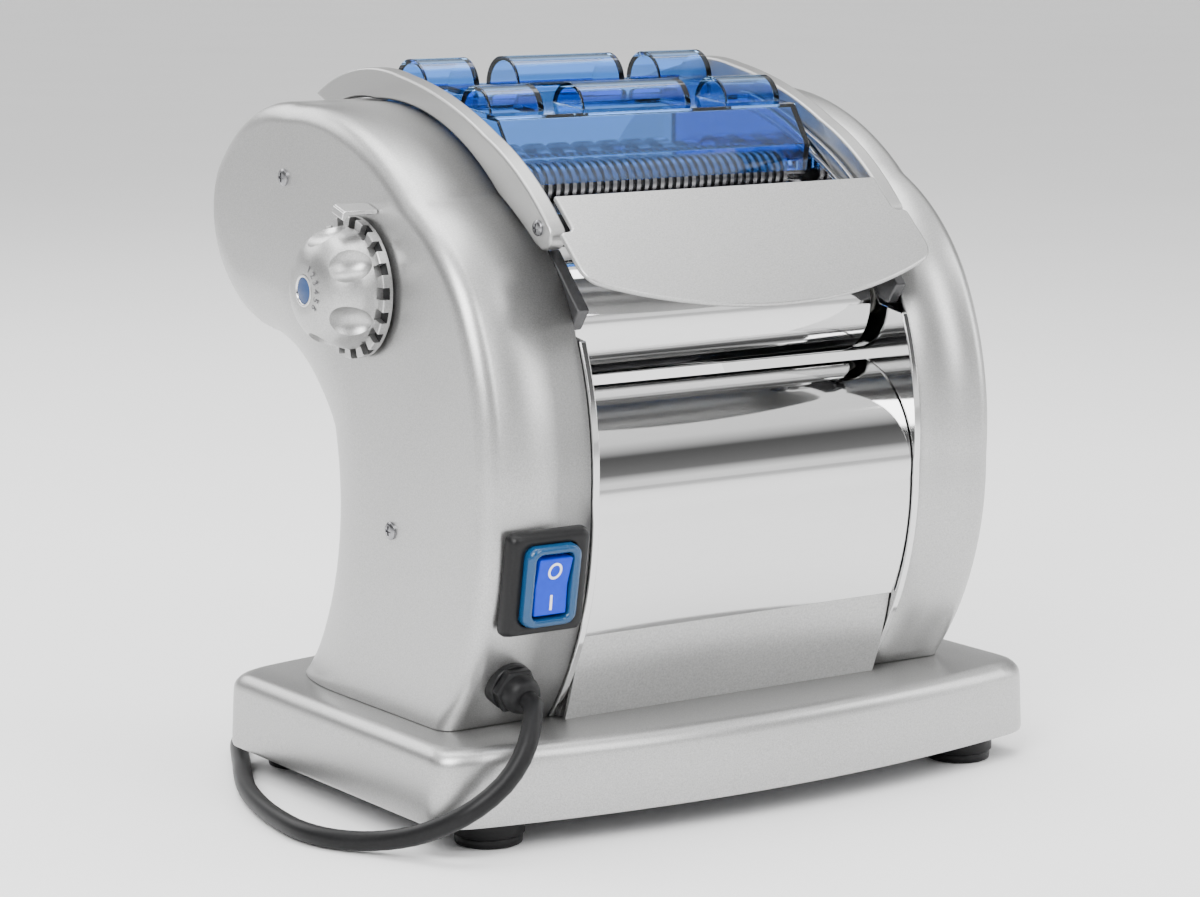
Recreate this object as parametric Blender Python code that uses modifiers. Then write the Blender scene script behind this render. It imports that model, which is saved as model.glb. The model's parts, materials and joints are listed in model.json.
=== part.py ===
"""Electric table-top pasta roller machine, as an assembly of separate pieces.

Metres, +Z up. The rollers lie along X, the controls are on the -X side, and the dough goes in at the front, -Y.
Shapes are laid out from the centre of the base, and the whole assembly hangs on one empty that puts the centre of
its bounding box on the world's origin. The mains cord lies outside that box.
"""

import math

import bmesh
import bpy
from mathutils import Matrix, Vector

MM = 0.001
GAP = 0.3 * MM

# Base
BASE_HALF_LENGTH = 150 * MM
BASE_HALF_DEPTH = 107 * MM
BASE_BOW_RADIUS = 594 * MM
BASE_LIP_Z = 11 * MM
BASE_TOP_Z = 42 * MM
FOOT_RADIUS = 14.5 * MM
FOOT_X = 120 * MM
FOOT_Y = 75 * MM

# Side plates, the housings outside them and the rims over them
PLATE_INNER_X = 79 * MM
PLATE_OUTER_X = 82 * MM
RIM_INNER_X = 80.6 * MM
RIM_OUTER_X = 88.5 * MM
HOUSING_INNER_X = 82.5 * MM
HOUSING_FACE_X = 131 * MM
COVER_FACE_X = 123.5 * MM
WALL = 2.2 * MM
STAND_Z = BASE_TOP_Z + GAP

# Rollers and the knob that sets the gap between them
ROLLER_RADIUS = 23.3 * MM
ROLLER_HALF_LENGTH = 74.5 * MM
FRONT_AXIS = Vector((0, -45.5 * MM, 200.2 * MM))
REAR_AXIS = Vector((0, 1.5 * MM, 212.5 * MM))
GAP_TRAVEL = 1.8 * MM
KNOB_TURN = math.radians(100)
TOWARDS_FRONT = (FRONT_AXIS - REAR_AXIS).normalized()
ACROSS = Vector((0, -TOWARDS_FRONT.z, TOWARDS_FRONT.y))
ECCENTRICITY = GAP_TRAVEL / 2 / math.sin(KNOB_TURN / 2)
ECCENTRIC_RISE = ECCENTRICITY * (1 + math.cos(KNOB_TURN / 2)) / 2
KNOB_AXIS = REAR_AXIS + TOWARDS_FRONT * GAP_TRAVEL / 2 - ACROSS * ECCENTRIC_RISE
KNOB_FLANGE_X = 133 * MM
KNOB_DEPTH = 24.5 * MM
KNOB_FLANGE_RADIUS = 28.5 * MM
FINGER_FLUTES = 6

# Cutters, front to back: the narrow pair, then the wide pair
CUTTER_Z = 250 * MM
CUTTER_PITCH_RADIUS = 11.25 * MM
CUTTER_RADIUS = 10.9 * MM
LINK_DISTANCE = 30 * MM
NARROW_FRONT_Y = -5 * MM
CUTTER_Y = [
    NARROW_FRONT_Y,
    NARROW_FRONT_Y + 2 * CUTTER_PITCH_RADIUS,
    NARROW_FRONT_Y + 2 * CUTTER_PITCH_RADIUS + LINK_DISTANCE,
    NARROW_FRONT_Y + 4 * CUTTER_PITCH_RADIUS + LINK_DISTANCE,
]
CUTTER_NAMES = ["narrow_cutter_front", "narrow_cutter_rear", "wide_cutter_front", "wide_cutter_rear"]
CUTTER_AXES = [Vector((0, y, CUTTER_Z)) for y in CUTTER_Y]

# Gear planes: the drive gears on the left, three planes on the right
DRIVE_PLANE = (-92.5 * MM, -84.5 * MM)
ROLLER_PLANE = (84.5 * MM, 91.3 * MM)
CUTTER_PLANE = (93.5 * MM, 99 * MM)
LINK_PLANE = (101 * MM, 106 * MM)
DRIVE_MODULE = 2 * MM
CUTTER_MODULE = 1.875 * MM
PINION_TEETH, IDLER_TEETH, ROLLER_DRIVE_TEETH = 12, 34, 20
ROLLER_TEETH = 20
CLUSTER_TEETH, CUTTER_IDLER_TEETH, CUTTER_TEETH, LINK_TEETH = 27, 15, 12, 16
IDLER_AXIS_Y = -38 * MM
MOTOR_AXIS_Y = -30 * MM
MOTOR_RADIUS = 27 * MM

# Feed tray
TRAY_TILT = math.radians(43)
TRAY_TOP = Vector((0, -62.5 * MM, 251.7 * MM))
TRAY_PIVOT = Vector((0, -64.2 * MM, 239.6 * MM))
TRAY_LENGTH = 63 * MM
TRAY_THICKNESS = 2.4 * MM

# Mains cord
CORD_RADIUS = 4 * MM
COIL_CENTRE = Vector((30 * MM, 184 * MM, 0))
COIL_TURN_RADIUS = 44 * MM
FLOOR_CLEARANCE = 0.4 * MM

# The whole part's box, to put its centre on the origin
HEAD_REAR_Y = 134.1 * MM
TRAY_FRONT_Y = TRAY_TOP.y - TRAY_LENGTH * math.cos(TRAY_TILT)
CENTRE_X = (BASE_HALF_LENGTH - KNOB_FLANGE_X - KNOB_DEPTH) / 2
CENTRE_Y = (HEAD_REAR_Y + TRAY_FRONT_Y) / 2

FINISHES = {
    "silver_paint": ((0.70, 0.70, 0.69), 0.75, 0.42, 1.0),
    "rim_metal": ((0.72, 0.72, 0.71), 0.9, 0.35, 1.0),
    "chrome": ((0.80, 0.80, 0.80), 1.0, 0.08, 1.0),
    "satin_steel": ((0.66, 0.66, 0.66), 1.0, 0.25, 1.0),
    "gear_steel": ((0.45, 0.45, 0.46), 1.0, 0.35, 1.0),
    "black_rubber": ((0.02, 0.02, 0.02), 0.0, 0.75, 1.0),
    "black_plastic": ((0.03, 0.03, 0.03), 0.0, 0.45, 1.0),
    "clear_blue": ((0.10, 0.25, 0.80), 0.0, 0.08, 0.45),
    "switch_blue": ((0.05, 0.22, 0.75), 0.0, 0.20, 0.6),
    "rocker_blue": ((0.02, 0.12, 0.60), 0.0, 0.18, 1.0),
    "white_gear": ((0.80, 0.79, 0.74), 0.0, 0.50, 1.0),
    "motor_grey": ((0.25, 0.25, 0.26), 0.6, 0.45, 1.0),
    "cap_blue": ((0.12, 0.18, 0.32), 0.0, 0.25, 1.0),
}


def clear_scene():
    for thing in list(bpy.data.objects):
        bpy.data.objects.remove(thing, do_unlink=True)


def new_collection(name):
    collection = bpy.data.collections.new(name)
    bpy.context.scene.collection.children.link(collection)
    return collection


def finish(slot):
    """The Principled material of one slot, made once."""
    found = bpy.data.materials.get(slot)
    if found:
        return found
    colour, metallic, roughness, alpha = FINISHES[slot]
    made = bpy.data.materials.new(slot)
    made.use_nodes = True
    shader = made.node_tree.nodes["Principled BSDF"]
    shader.inputs["Base Color"].default_value = (*colour, 1)
    shader.inputs["Metallic"].default_value = metallic
    shader.inputs["Roughness"].default_value = roughness
    shader.inputs["Alpha"].default_value = alpha
    return made


def empty_at(name, position, parent=None):
    """An empty that holds the pieces of one body; its place is given from the centre of the base."""
    empty = bpy.data.objects.new(name, None)
    empty.empty_display_size = 0.01
    PARTS.objects.link(empty)
    empty.parent = parent
    empty.location = position - (Vector(parent["design_place"]) if parent else Vector())
    empty["design_place"] = position
    return empty


def add_piece(name, shape, slot, body):
    """Makes an object of a bmesh laid out from the centre of the base, and hangs it on its body's empty."""
    pivot = Vector(body["design_place"])
    bmesh.ops.remove_doubles(shape, verts=shape.verts, dist=1e-7)
    bmesh.ops.recalc_face_normals(shape, faces=shape.faces)
    bmesh.ops.translate(shape, verts=shape.verts, vec=-pivot)
    mesh = bpy.data.meshes.new(name)
    shape.to_mesh(mesh)
    shape.free()
    mesh.shade_smooth()
    mesh.set_sharp_from_angle(angle=math.radians(32))
    mesh.materials.append(finish(slot))
    piece = bpy.data.objects.new(name, mesh)
    PARTS.objects.link(piece)
    piece.parent = body
    return piece


# Outlines: lists of (a, b) points, from arcs


def arc_through(start, middle, end, steps):
    """Points of the circular arc from start to end by way of middle, without its last point."""
    (ax, ay), (bx, by), (cx, cy) = start, middle, end
    twice_area = 2 * (ax * (by - cy) + bx * (cy - ay) + cx * (ay - by))
    squares = [x * x + y * y for x, y in (start, middle, end)]
    ox = (squares[0] * (by - cy) + squares[1] * (cy - ay) + squares[2] * (ay - by)) / twice_area
    oy = (squares[0] * (cx - bx) + squares[1] * (ax - cx) + squares[2] * (bx - ax)) / twice_area
    radius = math.hypot(ax - ox, ay - oy)
    first = math.atan2(ay - oy, ax - ox)
    last = math.atan2(cy - oy, cx - ox)
    turn = (last - first) % (2 * math.pi)
    if (math.atan2(by - oy, bx - ox) - first) % (2 * math.pi) > turn:
        turn -= 2 * math.pi
    angles = [first + turn * i / steps for i in range(steps)]
    return [(ox + radius * math.cos(a), oy + radius * math.sin(a)) for a in angles]


def path_of_arcs(arcs, steps):
    """Joins arcs given in millimetres into one path in metres."""
    points = []
    for arc in arcs:
        points += arc_through(*arc, steps)
    points.append(arcs[-1][2])
    return [(a * MM, b * MM) for a, b in points]


def offset_path(path, distance):
    """The open path moved sideways, to the left of its direction for a positive distance."""
    moved = []
    for i, (a, b) in enumerate(path):
        before = path[max(i - 1, 0)]
        after = path[min(i + 1, len(path) - 1)]
        da, db = after[0] - before[0], after[1] - before[1]
        length = math.hypot(da, db)
        moved.append((a - db / length * distance, b + da / length * distance))
    return moved


def strip(path, thickness):
    """A closed outline of a bent sheet: the path, and the same path one thickness to its left, backwards."""
    return path + offset_path(path, thickness)[::-1]


def circle(centre, radius, steps=24, turn=0.0):
    angles = [turn + 2 * math.pi * i / steps for i in range(steps)]
    return [(centre[0] + radius * math.cos(a), centre[1] + radius * math.sin(a)) for a in angles]


def yz(vector):
    return (vector.y, vector.z)


def gear_outline(centre, module, teeth, addendum, dedendum, thickness, phase):
    """Straight-sided teeth with backlash: thickness is a tooth's width at its pitch circle."""
    pitch_radius = module * teeth / 2
    outer, root = pitch_radius + addendum, pitch_radius - dedendum
    slope = 0.36
    half_at = {
        outer: (thickness / 2 - addendum * slope) / outer,
        root: (thickness / 2 + dedendum * slope) / root,
    }
    points = []
    for tooth in range(teeth):
        middle = phase + 2 * math.pi * tooth / teeth
        for radius, side in ((root, -1), (outer, -1), (outer, 1), (root, 1)):
            angle = middle + side * half_at[radius]
            points.append((centre[0] + radius * math.cos(angle), centre[1] + radius * math.sin(angle)))
    return points


# Solids from outlines

TURN_TO = {
    "X": Matrix(((0, 0, 1, 0), (1, 0, 0, 0), (0, 1, 0, 0), (0, 0, 0, 1))),
    "Z": Matrix.Identity(4),
}


def prism(outlines, low, high, along="X"):
    """Flat outlines, the first one outside and the rest holes, filled and made thick along an axis."""
    curve = bpy.data.curves.new("outline", "CURVE")
    curve.dimensions = "2D"
    curve.fill_mode = "BOTH"
    curve.extrude = (high - low) / 2
    for outline in outlines:
        spline = curve.splines.new("POLY")
        spline.points.add(len(outline) - 1)
        for point, (a, b) in zip(spline.points, outline):
            point.co = (a, b, 0, 1)
        spline.use_cyclic_u = True
    drawn = bpy.data.objects.new("outline", curve)
    bpy.context.scene.collection.objects.link(drawn)
    mesh = bpy.data.meshes.new_from_object(drawn.evaluated_get(bpy.context.evaluated_depsgraph_get()))
    bpy.data.objects.remove(drawn)
    shape = bmesh.new()
    shape.from_mesh(mesh)
    bmesh.ops.remove_doubles(shape, verts=shape.verts, dist=1e-7)
    bmesh.ops.translate(shape, verts=shape.verts, vec=(0, 0, (low + high) / 2))
    bmesh.ops.transform(shape, matrix=TURN_TO[along], verts=shape.verts)
    return shape


def turned(profile, centre, steps=32):
    """A turned shape along X: profile points are (x, radius), from the axis back to the axis, or a closed ring."""
    mesh = bpy.data.meshes.new("profile")
    count = len(profile)
    solid = profile[0][1] == 0
    edges = [(i, i + 1) for i in range(count - 1)] + ([] if solid else [(count - 1, 0)])
    mesh.from_pydata([(radius, 0, x) for x, radius in profile], edges, [])
    drawn = bpy.data.objects.new("profile", mesh)
    bpy.context.scene.collection.objects.link(drawn)
    screw = drawn.modifiers.new("turn", "SCREW")
    screw.steps = screw.render_steps = steps
    screw.use_merge_vertices = True
    screw.merge_threshold = 1e-6
    evaluated = bpy.data.meshes.new_from_object(drawn.evaluated_get(bpy.context.evaluated_depsgraph_get()))
    bpy.data.objects.remove(drawn)
    shape = bmesh.new()
    shape.from_mesh(evaluated)
    bmesh.ops.transform(shape, matrix=TURN_TO["X"], verts=shape.verts)
    bmesh.ops.translate(shape, verts=shape.verts, vec=(0, centre.y, centre.z))
    return shape


def block(low, high):
    shape = bmesh.new()
    bmesh.ops.create_cube(shape, size=1)
    low, high = Vector(low), Vector(high)
    bmesh.ops.scale(shape, verts=shape.verts, vec=high - low)
    bmesh.ops.translate(shape, verts=shape.verts, vec=(low + high) / 2)
    return shape


def round_edges(shape, chosen, width, segments):
    edges = [edge for edge in shape.edges if chosen(edge)]
    bmesh.ops.bevel(shape, geom=edges, offset=width, segments=segments, profile=0.5, affect="EDGES")


def cut(piece, name, shape, operation="DIFFERENCE"):
    """Cuts the shape out of a piece, or joins it on, with a Boolean that stays on the piece."""
    mesh = bpy.data.meshes.new(name)
    bmesh.ops.remove_doubles(shape, verts=shape.verts, dist=1e-7)
    bmesh.ops.recalc_face_normals(shape, faces=shape.faces)
    shape.to_mesh(mesh)
    shape.free()
    tool = bpy.data.objects.new(name, mesh)
    CUTTERS.objects.link(tool)
    tool.parent = MACHINE
    tool.hide_render = True
    tool.display_type = "WIRE"
    modifier = piece.modifiers.new(name, "BOOLEAN")
    modifier.operation = operation
    modifier.object = tool


# The side profile, (y, z) in millimetres, from the front of the foot over the head to the heel

FRONT_ARCS = [((-60, 42.3), (-83.6, 84), (-91.5, 134)), ((-91.5, 134), (-89.1, 172.5), (-75.8, 210.4))]
BROW_ARC = ((-75.8, 210.4), (-58, 233.5), (-34, 250.2))
CROWN_ARCS = [((-34, 250.2), (7.5, 275), (59.8, 282.6)), ((59.8, 282.6), (97.5, 277), (127, 255))]
HEAD_ARCS = [((127, 255), (134.2, 229), (122, 202)), ((122, 202), (106, 190), (86, 185))]
BACK_ARCS = [((86, 185), (58, 172), (40, 150)), ((40, 150), (42, 96), (73, 42.3))]
RIM_TOP_ARCS = [((110, 283), (84, 293.5), (40, 294)), ((40, 294), (8, 286.5), (-24, 273.5)), ((-24, 273.5), (-50, 259), (-71, 240.5))]


def housing_outline():
    return path_of_arcs(FRONT_ARCS + [BROW_ARC] + CROWN_ARCS + HEAD_ARCS + BACK_ARCS, 4)


def rounding_at(index, count):
    """How far the edge's rounding reaches in from the outline, and how deep it is, at one point of the outline."""
    stages = [(0, 8, 8), (0.42, 9, 9), (0.58, 14, 11), (0.72, 22, 12), (0.86, 34, 14), (1, 50, 19)]
    along = index / (count - 1)
    for (start, reach, depth), (end, next_reach, next_depth) in zip(stages, stages[1:]):
        if along <= end:
            part = (along - start) / (end - start)
            return (reach + (next_reach - reach) * part) * MM, (depth + (next_depth - depth) * part) * MM


def housing_solid(side, inner_x, face_x, inset):
    """The housing as a solid: straight walls from inner_x, an edge that rounds over, and a flat face."""
    outline = offset_path(housing_outline(), -inset)
    floor = STAND_Z + inset
    inwards = [(a - p, b - q) for (a, b), (p, q) in zip(offset_path(outline, -1), outline)]
    inwards[0], inwards[-1] = (1, 0), (-1, 0)
    shape = bmesh.new()
    rings = []
    for angle in (None, 0, 30, 60, 90):
        ring = []
        for i, ((a, b), (ia, ib)) in enumerate(zip(outline, inwards)):
            reach, depth = rounding_at(i, len(outline))
            x, moved = inner_x, 0
            if angle is not None:
                x = face_x - (depth - inset) * (1 - math.sin(math.radians(angle)))
                moved = (reach - inset) * (1 - math.cos(math.radians(angle)))
            lowest = floor + 0.4 * max(b - floor, 0)
            ring.append(shape.verts.new((side * x, a + ia * moved, max(b + ib * moved, lowest))))
        rings.append(ring)
    for inner, outer in zip(rings, rings[1:]):
        for i in range(len(inner)):
            j = (i + 1) % len(inner)
            shape.faces.new((inner[i], inner[j], outer[j], outer[i]))
    shape.faces.new(rings[0][::-1])
    shape.faces.new(rings[-1])
    return shape


def housing_shell(name, side, face_x):
    """A cast cover, open towards the side plate."""
    piece = add_piece(name, housing_solid(side, HOUSING_INNER_X, face_x, 0), "silver_paint", MACHINE)
    cut(piece, f"{name}_inside", housing_solid(side, HOUSING_INNER_X - 5 * MM, face_x - WALL, WALL))
    return piece


def side_plate(name, side, holes):
    front = offset_path(path_of_arcs(FRONT_ARCS, 6), 1.2 * MM)
    front = [point for point in front if point[1] < 199 * MM]
    notch = [(-68 * MM, 199 * MM), (-54.5 * MM, 224 * MM)]
    crown = offset_path(path_of_arcs([((-48, 240.5), (-41, 245.8), (-34, 250.2))] + CROWN_ARCS, 4), -0.1 * MM)
    back = offset_path(path_of_arcs(HEAD_ARCS + BACK_ARCS, 4), -3 * MM)
    outline = [(a, max(b, STAND_Z)) for a, b in front + notch + crown + back]
    low, high = sorted((side * PLATE_INNER_X, side * PLATE_OUTER_X))
    return add_piece(name, prism([outline] + holes, low, high), "chrome", MACHINE)


def rim(name, side):
    top = path_of_arcs(RIM_TOP_ARCS, 7)
    end = path_of_arcs([((-71, 240.5), (-71.5, 233.5), (-63, 232.2))], 4)
    seam = offset_path(path_of_arcs([((-61, 232.3), (-47, 242.3), (-34, 250.2))] + CROWN_ARCS, 6), 0.6 * MM)
    seam = [point for point in seam if point[0] < 100 * MM]
    low, high = sorted((side * RIM_INNER_X, side * RIM_OUTER_X))
    shape = prism([top[:-1] + end + seam], low, high)
    round_edges(shape, lambda e: all(abs(v.co.x - side * RIM_OUTER_X) < 1e-6 for v in e.verts)
                and len(e.link_faces) == 2 and any(abs(f.normal.x) < 0.5 for f in e.link_faces), 1.2 * MM, 2)
    return add_piece(name, shape, "rim_metal", MACHINE)


def base_outline(inset):
    """The bowed plan of the base, corners square."""
    radius = BASE_BOW_RADIUS - inset
    half = BASE_HALF_LENGTH - inset
    centre = BASE_HALF_DEPTH - BASE_BOW_RADIUS
    steps = 10
    front, rear = [], []
    for i in range(steps + 1):
        x = -half + 2 * half * i / steps
        y = centre + math.sqrt(radius * radius - x * x)
        front.append((x, -y))
        rear.append((-x, y))
    return front + rear


def is_upright(edge):
    a, b = edge.verts
    return math.hypot(a.co.x - b.co.x, a.co.y - b.co.y) < 1e-6


def make_base():
    shape = prism([base_outline(0)], BASE_LIP_Z, BASE_TOP_Z, "Z")
    corner = BASE_HALF_LENGTH - 1e-5
    round_edges(shape, lambda e: is_upright(e) and abs(e.verts[0].co.x) > corner, 12 * MM, 3)
    floor = [face for face in shape.faces if face.calc_center_median().z < BASE_LIP_Z + 1e-5]
    bmesh.ops.delete(shape, geom=floor, context="FACES")
    round_edges(shape, lambda e: all(v.co.z > BASE_TOP_Z - 1e-5 for v in e.verts)
                and any(abs(f.normal.z) < 0.5 for f in e.link_faces), 7 * MM, 2)
    base = add_piece("base_shell", shape, "silver_paint", MACHINE)
    solidify = base.modifiers.new("wall", "SOLIDIFY")
    solidify.thickness = 2 * MM
    solidify.offset = -1
    solidify.use_even_offset = True

    plate = prism([base_outline(4 * MM)], BASE_LIP_Z + 1 * MM, BASE_LIP_Z + 2.5 * MM, "Z")
    round_edges(plate, lambda e: is_upright(e) and abs(e.verts[0].co.x) > corner - 4 * MM, 11 * MM, 3)
    add_piece("base_bottom_plate", plate, "satin_steel", MACHINE)
    for depth_name, y in (("front", -FOOT_Y), ("rear", FOOT_Y)):
        for side_name, x in (("left", -FOOT_X), ("right", FOOT_X)):
            foot = bmesh.new()
            height = BASE_LIP_Z + 1 * MM - GAP
            bmesh.ops.create_cone(foot, cap_ends=True, segments=24, radius1=FOOT_RADIUS - 1 * MM,
                                  radius2=FOOT_RADIUS, depth=height, matrix=Matrix.Translation((x, y, height / 2)))
            add_piece(f"foot_{depth_name}_{side_name}", foot, "black_rubber", MACHINE)


def make_frame():
    bush_holes = [circle(yz(FRONT_AXIS), 10 * MM, 16)]
    shaft_holes = [circle(yz(axis), 4.5 * MM, 10, 0.1 * i) for i, axis in enumerate(CUTTER_AXES)]
    left_holes = bush_holes + [circle(yz(KNOB_AXIS), 5.2 * MM, 12), circle((MOTOR_AXIS_Y, MOTOR_AXIS_Z), 6 * MM, 12)]
    right_holes = bush_holes + shaft_holes + [circle(yz(REAR_AXIS), 10.5 * MM, 16)]
    left = side_plate("left_side_plate", -1, left_holes + shaft_holes)
    right = side_plate("right_side_plate", 1, right_holes)
    stud = turned([(-95 * MM, 0), (-95 * MM, 4 * MM), (-80 * MM, 4 * MM), (-80 * MM, 0)], IDLER_AXIS, 16)
    cut(left, "drive_idler_stud", stud, "UNION")
    stud = turned([(80 * MM, 0), (80 * MM, 3 * MM), (100.5 * MM, 3 * MM), (100.5 * MM, 0)], CUTTER_IDLER_AXIS, 16)
    cut(right, "cutter_idler_stud", stud, "UNION")
    rim("left_rim", -1)
    rim("right_rim", 1)
    half = PLATE_INNER_X - GAP
    bar = turned([(-half, 0), (-half, 4 * MM), (half, 4 * MM), (half, 0)], Vector((0, 52 * MM, 184 * MM)), 16)
    add_piece("rear_tie_bar", bar, "satin_steel", MACHINE)


def bent_sheet(name, arcs, thickness, half_width, slot, steps=7):
    return add_piece(name, prism([strip(path_of_arcs(arcs, steps), thickness)], -half_width, half_width), slot, MACHINE)


def make_panels():
    half = PLATE_INNER_X - 0.5 * MM
    # The deck lies to the right of its path, which runs from its crest down the front, so its thickness goes inwards.
    bent_sheet("chute_deck", [((-60, 173.5), (-80.5, 160), (-89.5, 128.5)), ((-89.5, 128.5), (-87, 103), (-79, 78.5))],
               1.5 * MM, half, "chrome")
    bent_sheet("front_panel", [((-78, 77), (-72, 60), (-65.5, 42.5))], 2 * MM, half, "silver_paint", 4)
    bent_sheet("rear_panel", [((62, 43), (42, 90), (34, 148))], 1.5 * MM, half, "silver_paint", 6)
    for name, points in (
        ("front_scraper", [(-32.9, 180.0), (-31.4, 173.8), (-23, 173.8), (-23, 175.8), (-29.4, 176.2)]),
        ("rear_scraper", [(12.4, 191.2), (13.5, 185), (23, 185), (23, 187), (16, 187.6)]),
        ("narrow_cutter_comb", [(-16, 242.8), (-14.2, 240), (-24.5, 237), (-25.6, 239.4)]),
        ("wide_cutter_comb", [(81, 242.8), (79.2, 240), (88.5, 237), (89.6, 239.4)]),
    ):
        outline = [(a * MM, b * MM) for a, b in points]
        add_piece(name, prism([outline], -half, half), "satin_steel", MACHINE)
    for name, side in (("left_front_bracket", -1), ("right_front_bracket", 1)):
        outline = [(-54.6, 228.6), (-61.4, 230.4), (-82.5, 208.2), (-76.5, 199.8), (-70.2, 201.6)]
        low, high = sorted((side * 76.5 * MM, side * (PLATE_OUTER_X + 0.2 * MM)))
        add_piece(name, prism([[(a * MM, b * MM) for a, b in outline]], low, high), "black_plastic", MACHINE)


def make_housings():
    housing = housing_shell("motor_housing", -1, HOUSING_FACE_X)
    cut(housing, "knob_shaft_hole", turned([(-140 * MM, 0), (-140 * MM, 7 * MM), (-120 * MM, 7 * MM), (-120 * MM, 0)], KNOB_AXIS, 20))
    opening = block((-13.6 * MM, -12 * MM, -18.4 * MM), (13.6 * MM, 12 * MM, 18.4 * MM))
    bmesh.ops.transform(opening, matrix=SWITCH_FRAME, verts=opening.verts)
    cut(housing, "switch_opening", opening)
    cable_hole = bmesh.new()
    bmesh.ops.create_cone(cable_hole, cap_ends=True, segments=20, radius1=11.5 * MM, radius2=11.5 * MM, depth=30 * MM,
                          matrix=GLAND_FRAME @ Matrix.Translation((0, 0, -4 * MM)))
    cut(housing, "cable_hole", cable_hole)
    housing_shell("right_cover", 1, COVER_FACE_X)
    for name, y, z in (("housing_screw_upper", 62, 252.5), ("housing_screw_lower", -21.3, 117.2)):
        head = turned([(-132.6 * MM, 0), (-132.6 * MM, 3.2 * MM), (-131.3 * MM, 3.6 * MM), (-131.3 * MM, 0)],
                      Vector((0, y * MM, z * MM)), 16)
        add_piece(name, head, "satin_steel", MACHINE)


def make_switch():
    """The rocker switch on the housing's tilted front face: local +Y goes into the housing, +Z up the face."""
    bezel = bmesh.new()
    bmesh.ops.create_cube(bezel, size=1)
    bmesh.ops.scale(bezel, verts=bezel.verts, vec=(36 * MM, 5 * MM, 39 * MM))
    bmesh.ops.translate(bezel, verts=bezel.verts, vec=(0, -2.9 * MM, 0))
    bmesh.ops.transform(bezel, matrix=SWITCH_FRAME, verts=bezel.verts)
    bezel_piece = add_piece("switch_bezel", bezel, "black_plastic", MACHINE)
    well = block((-12.6 * MM, -12 * MM, -16.8 * MM), (12.6 * MM, 12 * MM, 16.8 * MM))
    bmesh.ops.transform(well, matrix=SWITCH_FRAME, verts=well.verts)
    cut(bezel_piece, "switch_well", well)

    boot = block((-12.2 * MM, -8.2 * MM, -16.4 * MM), (12.2 * MM, 12 * MM, 16.4 * MM))
    bmesh.ops.transform(boot, matrix=SWITCH_FRAME, verts=boot.verts)
    boot_piece = add_piece("switch_boot", boot, "switch_blue", MACHINE)
    pocket = block((-8.3 * MM, -20 * MM, -13.2 * MM), (8.3 * MM, 5 * MM, 13.2 * MM))
    bmesh.ops.transform(pocket, matrix=SWITCH_FRAME, verts=pocket.verts)
    cut(boot_piece, "rocker_pocket", pocket)

    side = [(-3, -11.8), (-7.2, -11.8), (-6.6, 0), (-8.8, 11.8), (-3, 11.8), (0.5, 0)]
    rocker = prism([[(a * MM, b * MM) for a, b in side]], -7.5 * MM, 7.5 * MM)
    bmesh.ops.transform(rocker, matrix=SWITCH_FRAME, verts=rocker.verts)
    add_piece("switch_rocker", rocker, "rocker_blue", ROCKER)


def make_gland():
    gland = bmesh.new()
    bmesh.ops.create_cone(gland, cap_ends=True, segments=18, radius1=9.8 * MM, radius2=9.2 * MM, depth=7 * MM,
                          matrix=GLAND_FRAME @ Matrix.Translation((0, 0, 4.2 * MM)))
    piece = add_piece("cable_gland", gland, "black_plastic", MACHINE)
    stem = bmesh.new()
    bmesh.ops.create_cone(stem, cap_ends=True, segments=20, radius1=7.9 * MM, radius2=7.9 * MM, depth=14 * MM,
                          matrix=GLAND_FRAME @ Matrix.Translation((0, 0, -5 * MM)))
    cut(piece, "gland_stem", stem, "UNION")
    sleeve = bmesh.new()
    bmesh.ops.create_cone(sleeve, cap_ends=True, segments=20, radius1=7.4 * MM, radius2=5.6 * MM, depth=7 * MM,
                          matrix=GLAND_FRAME @ Matrix.Translation((0, 0, 9.5 * MM)))
    cut(piece, "gland_sleeve", sleeve, "UNION")


def knob_profile():
    """Half section from the flange to the cap's seat, as (x, radius) outwards from the housing."""
    back = -KNOB_FLANGE_X
    front = back - KNOB_DEPTH
    return [
        (back, 0), (back, KNOB_FLANGE_RADIUS), (back - 4.5 * MM, KNOB_FLANGE_RADIUS),
        (back - 4.7 * MM, 24.6 * MM), (back - 14 * MM, 23.4 * MM), (back - 20.5 * MM, 19.5 * MM),
        (front + 1 * MM, 14 * MM), (front, 9 * MM), (front, 0),
    ]


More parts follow.
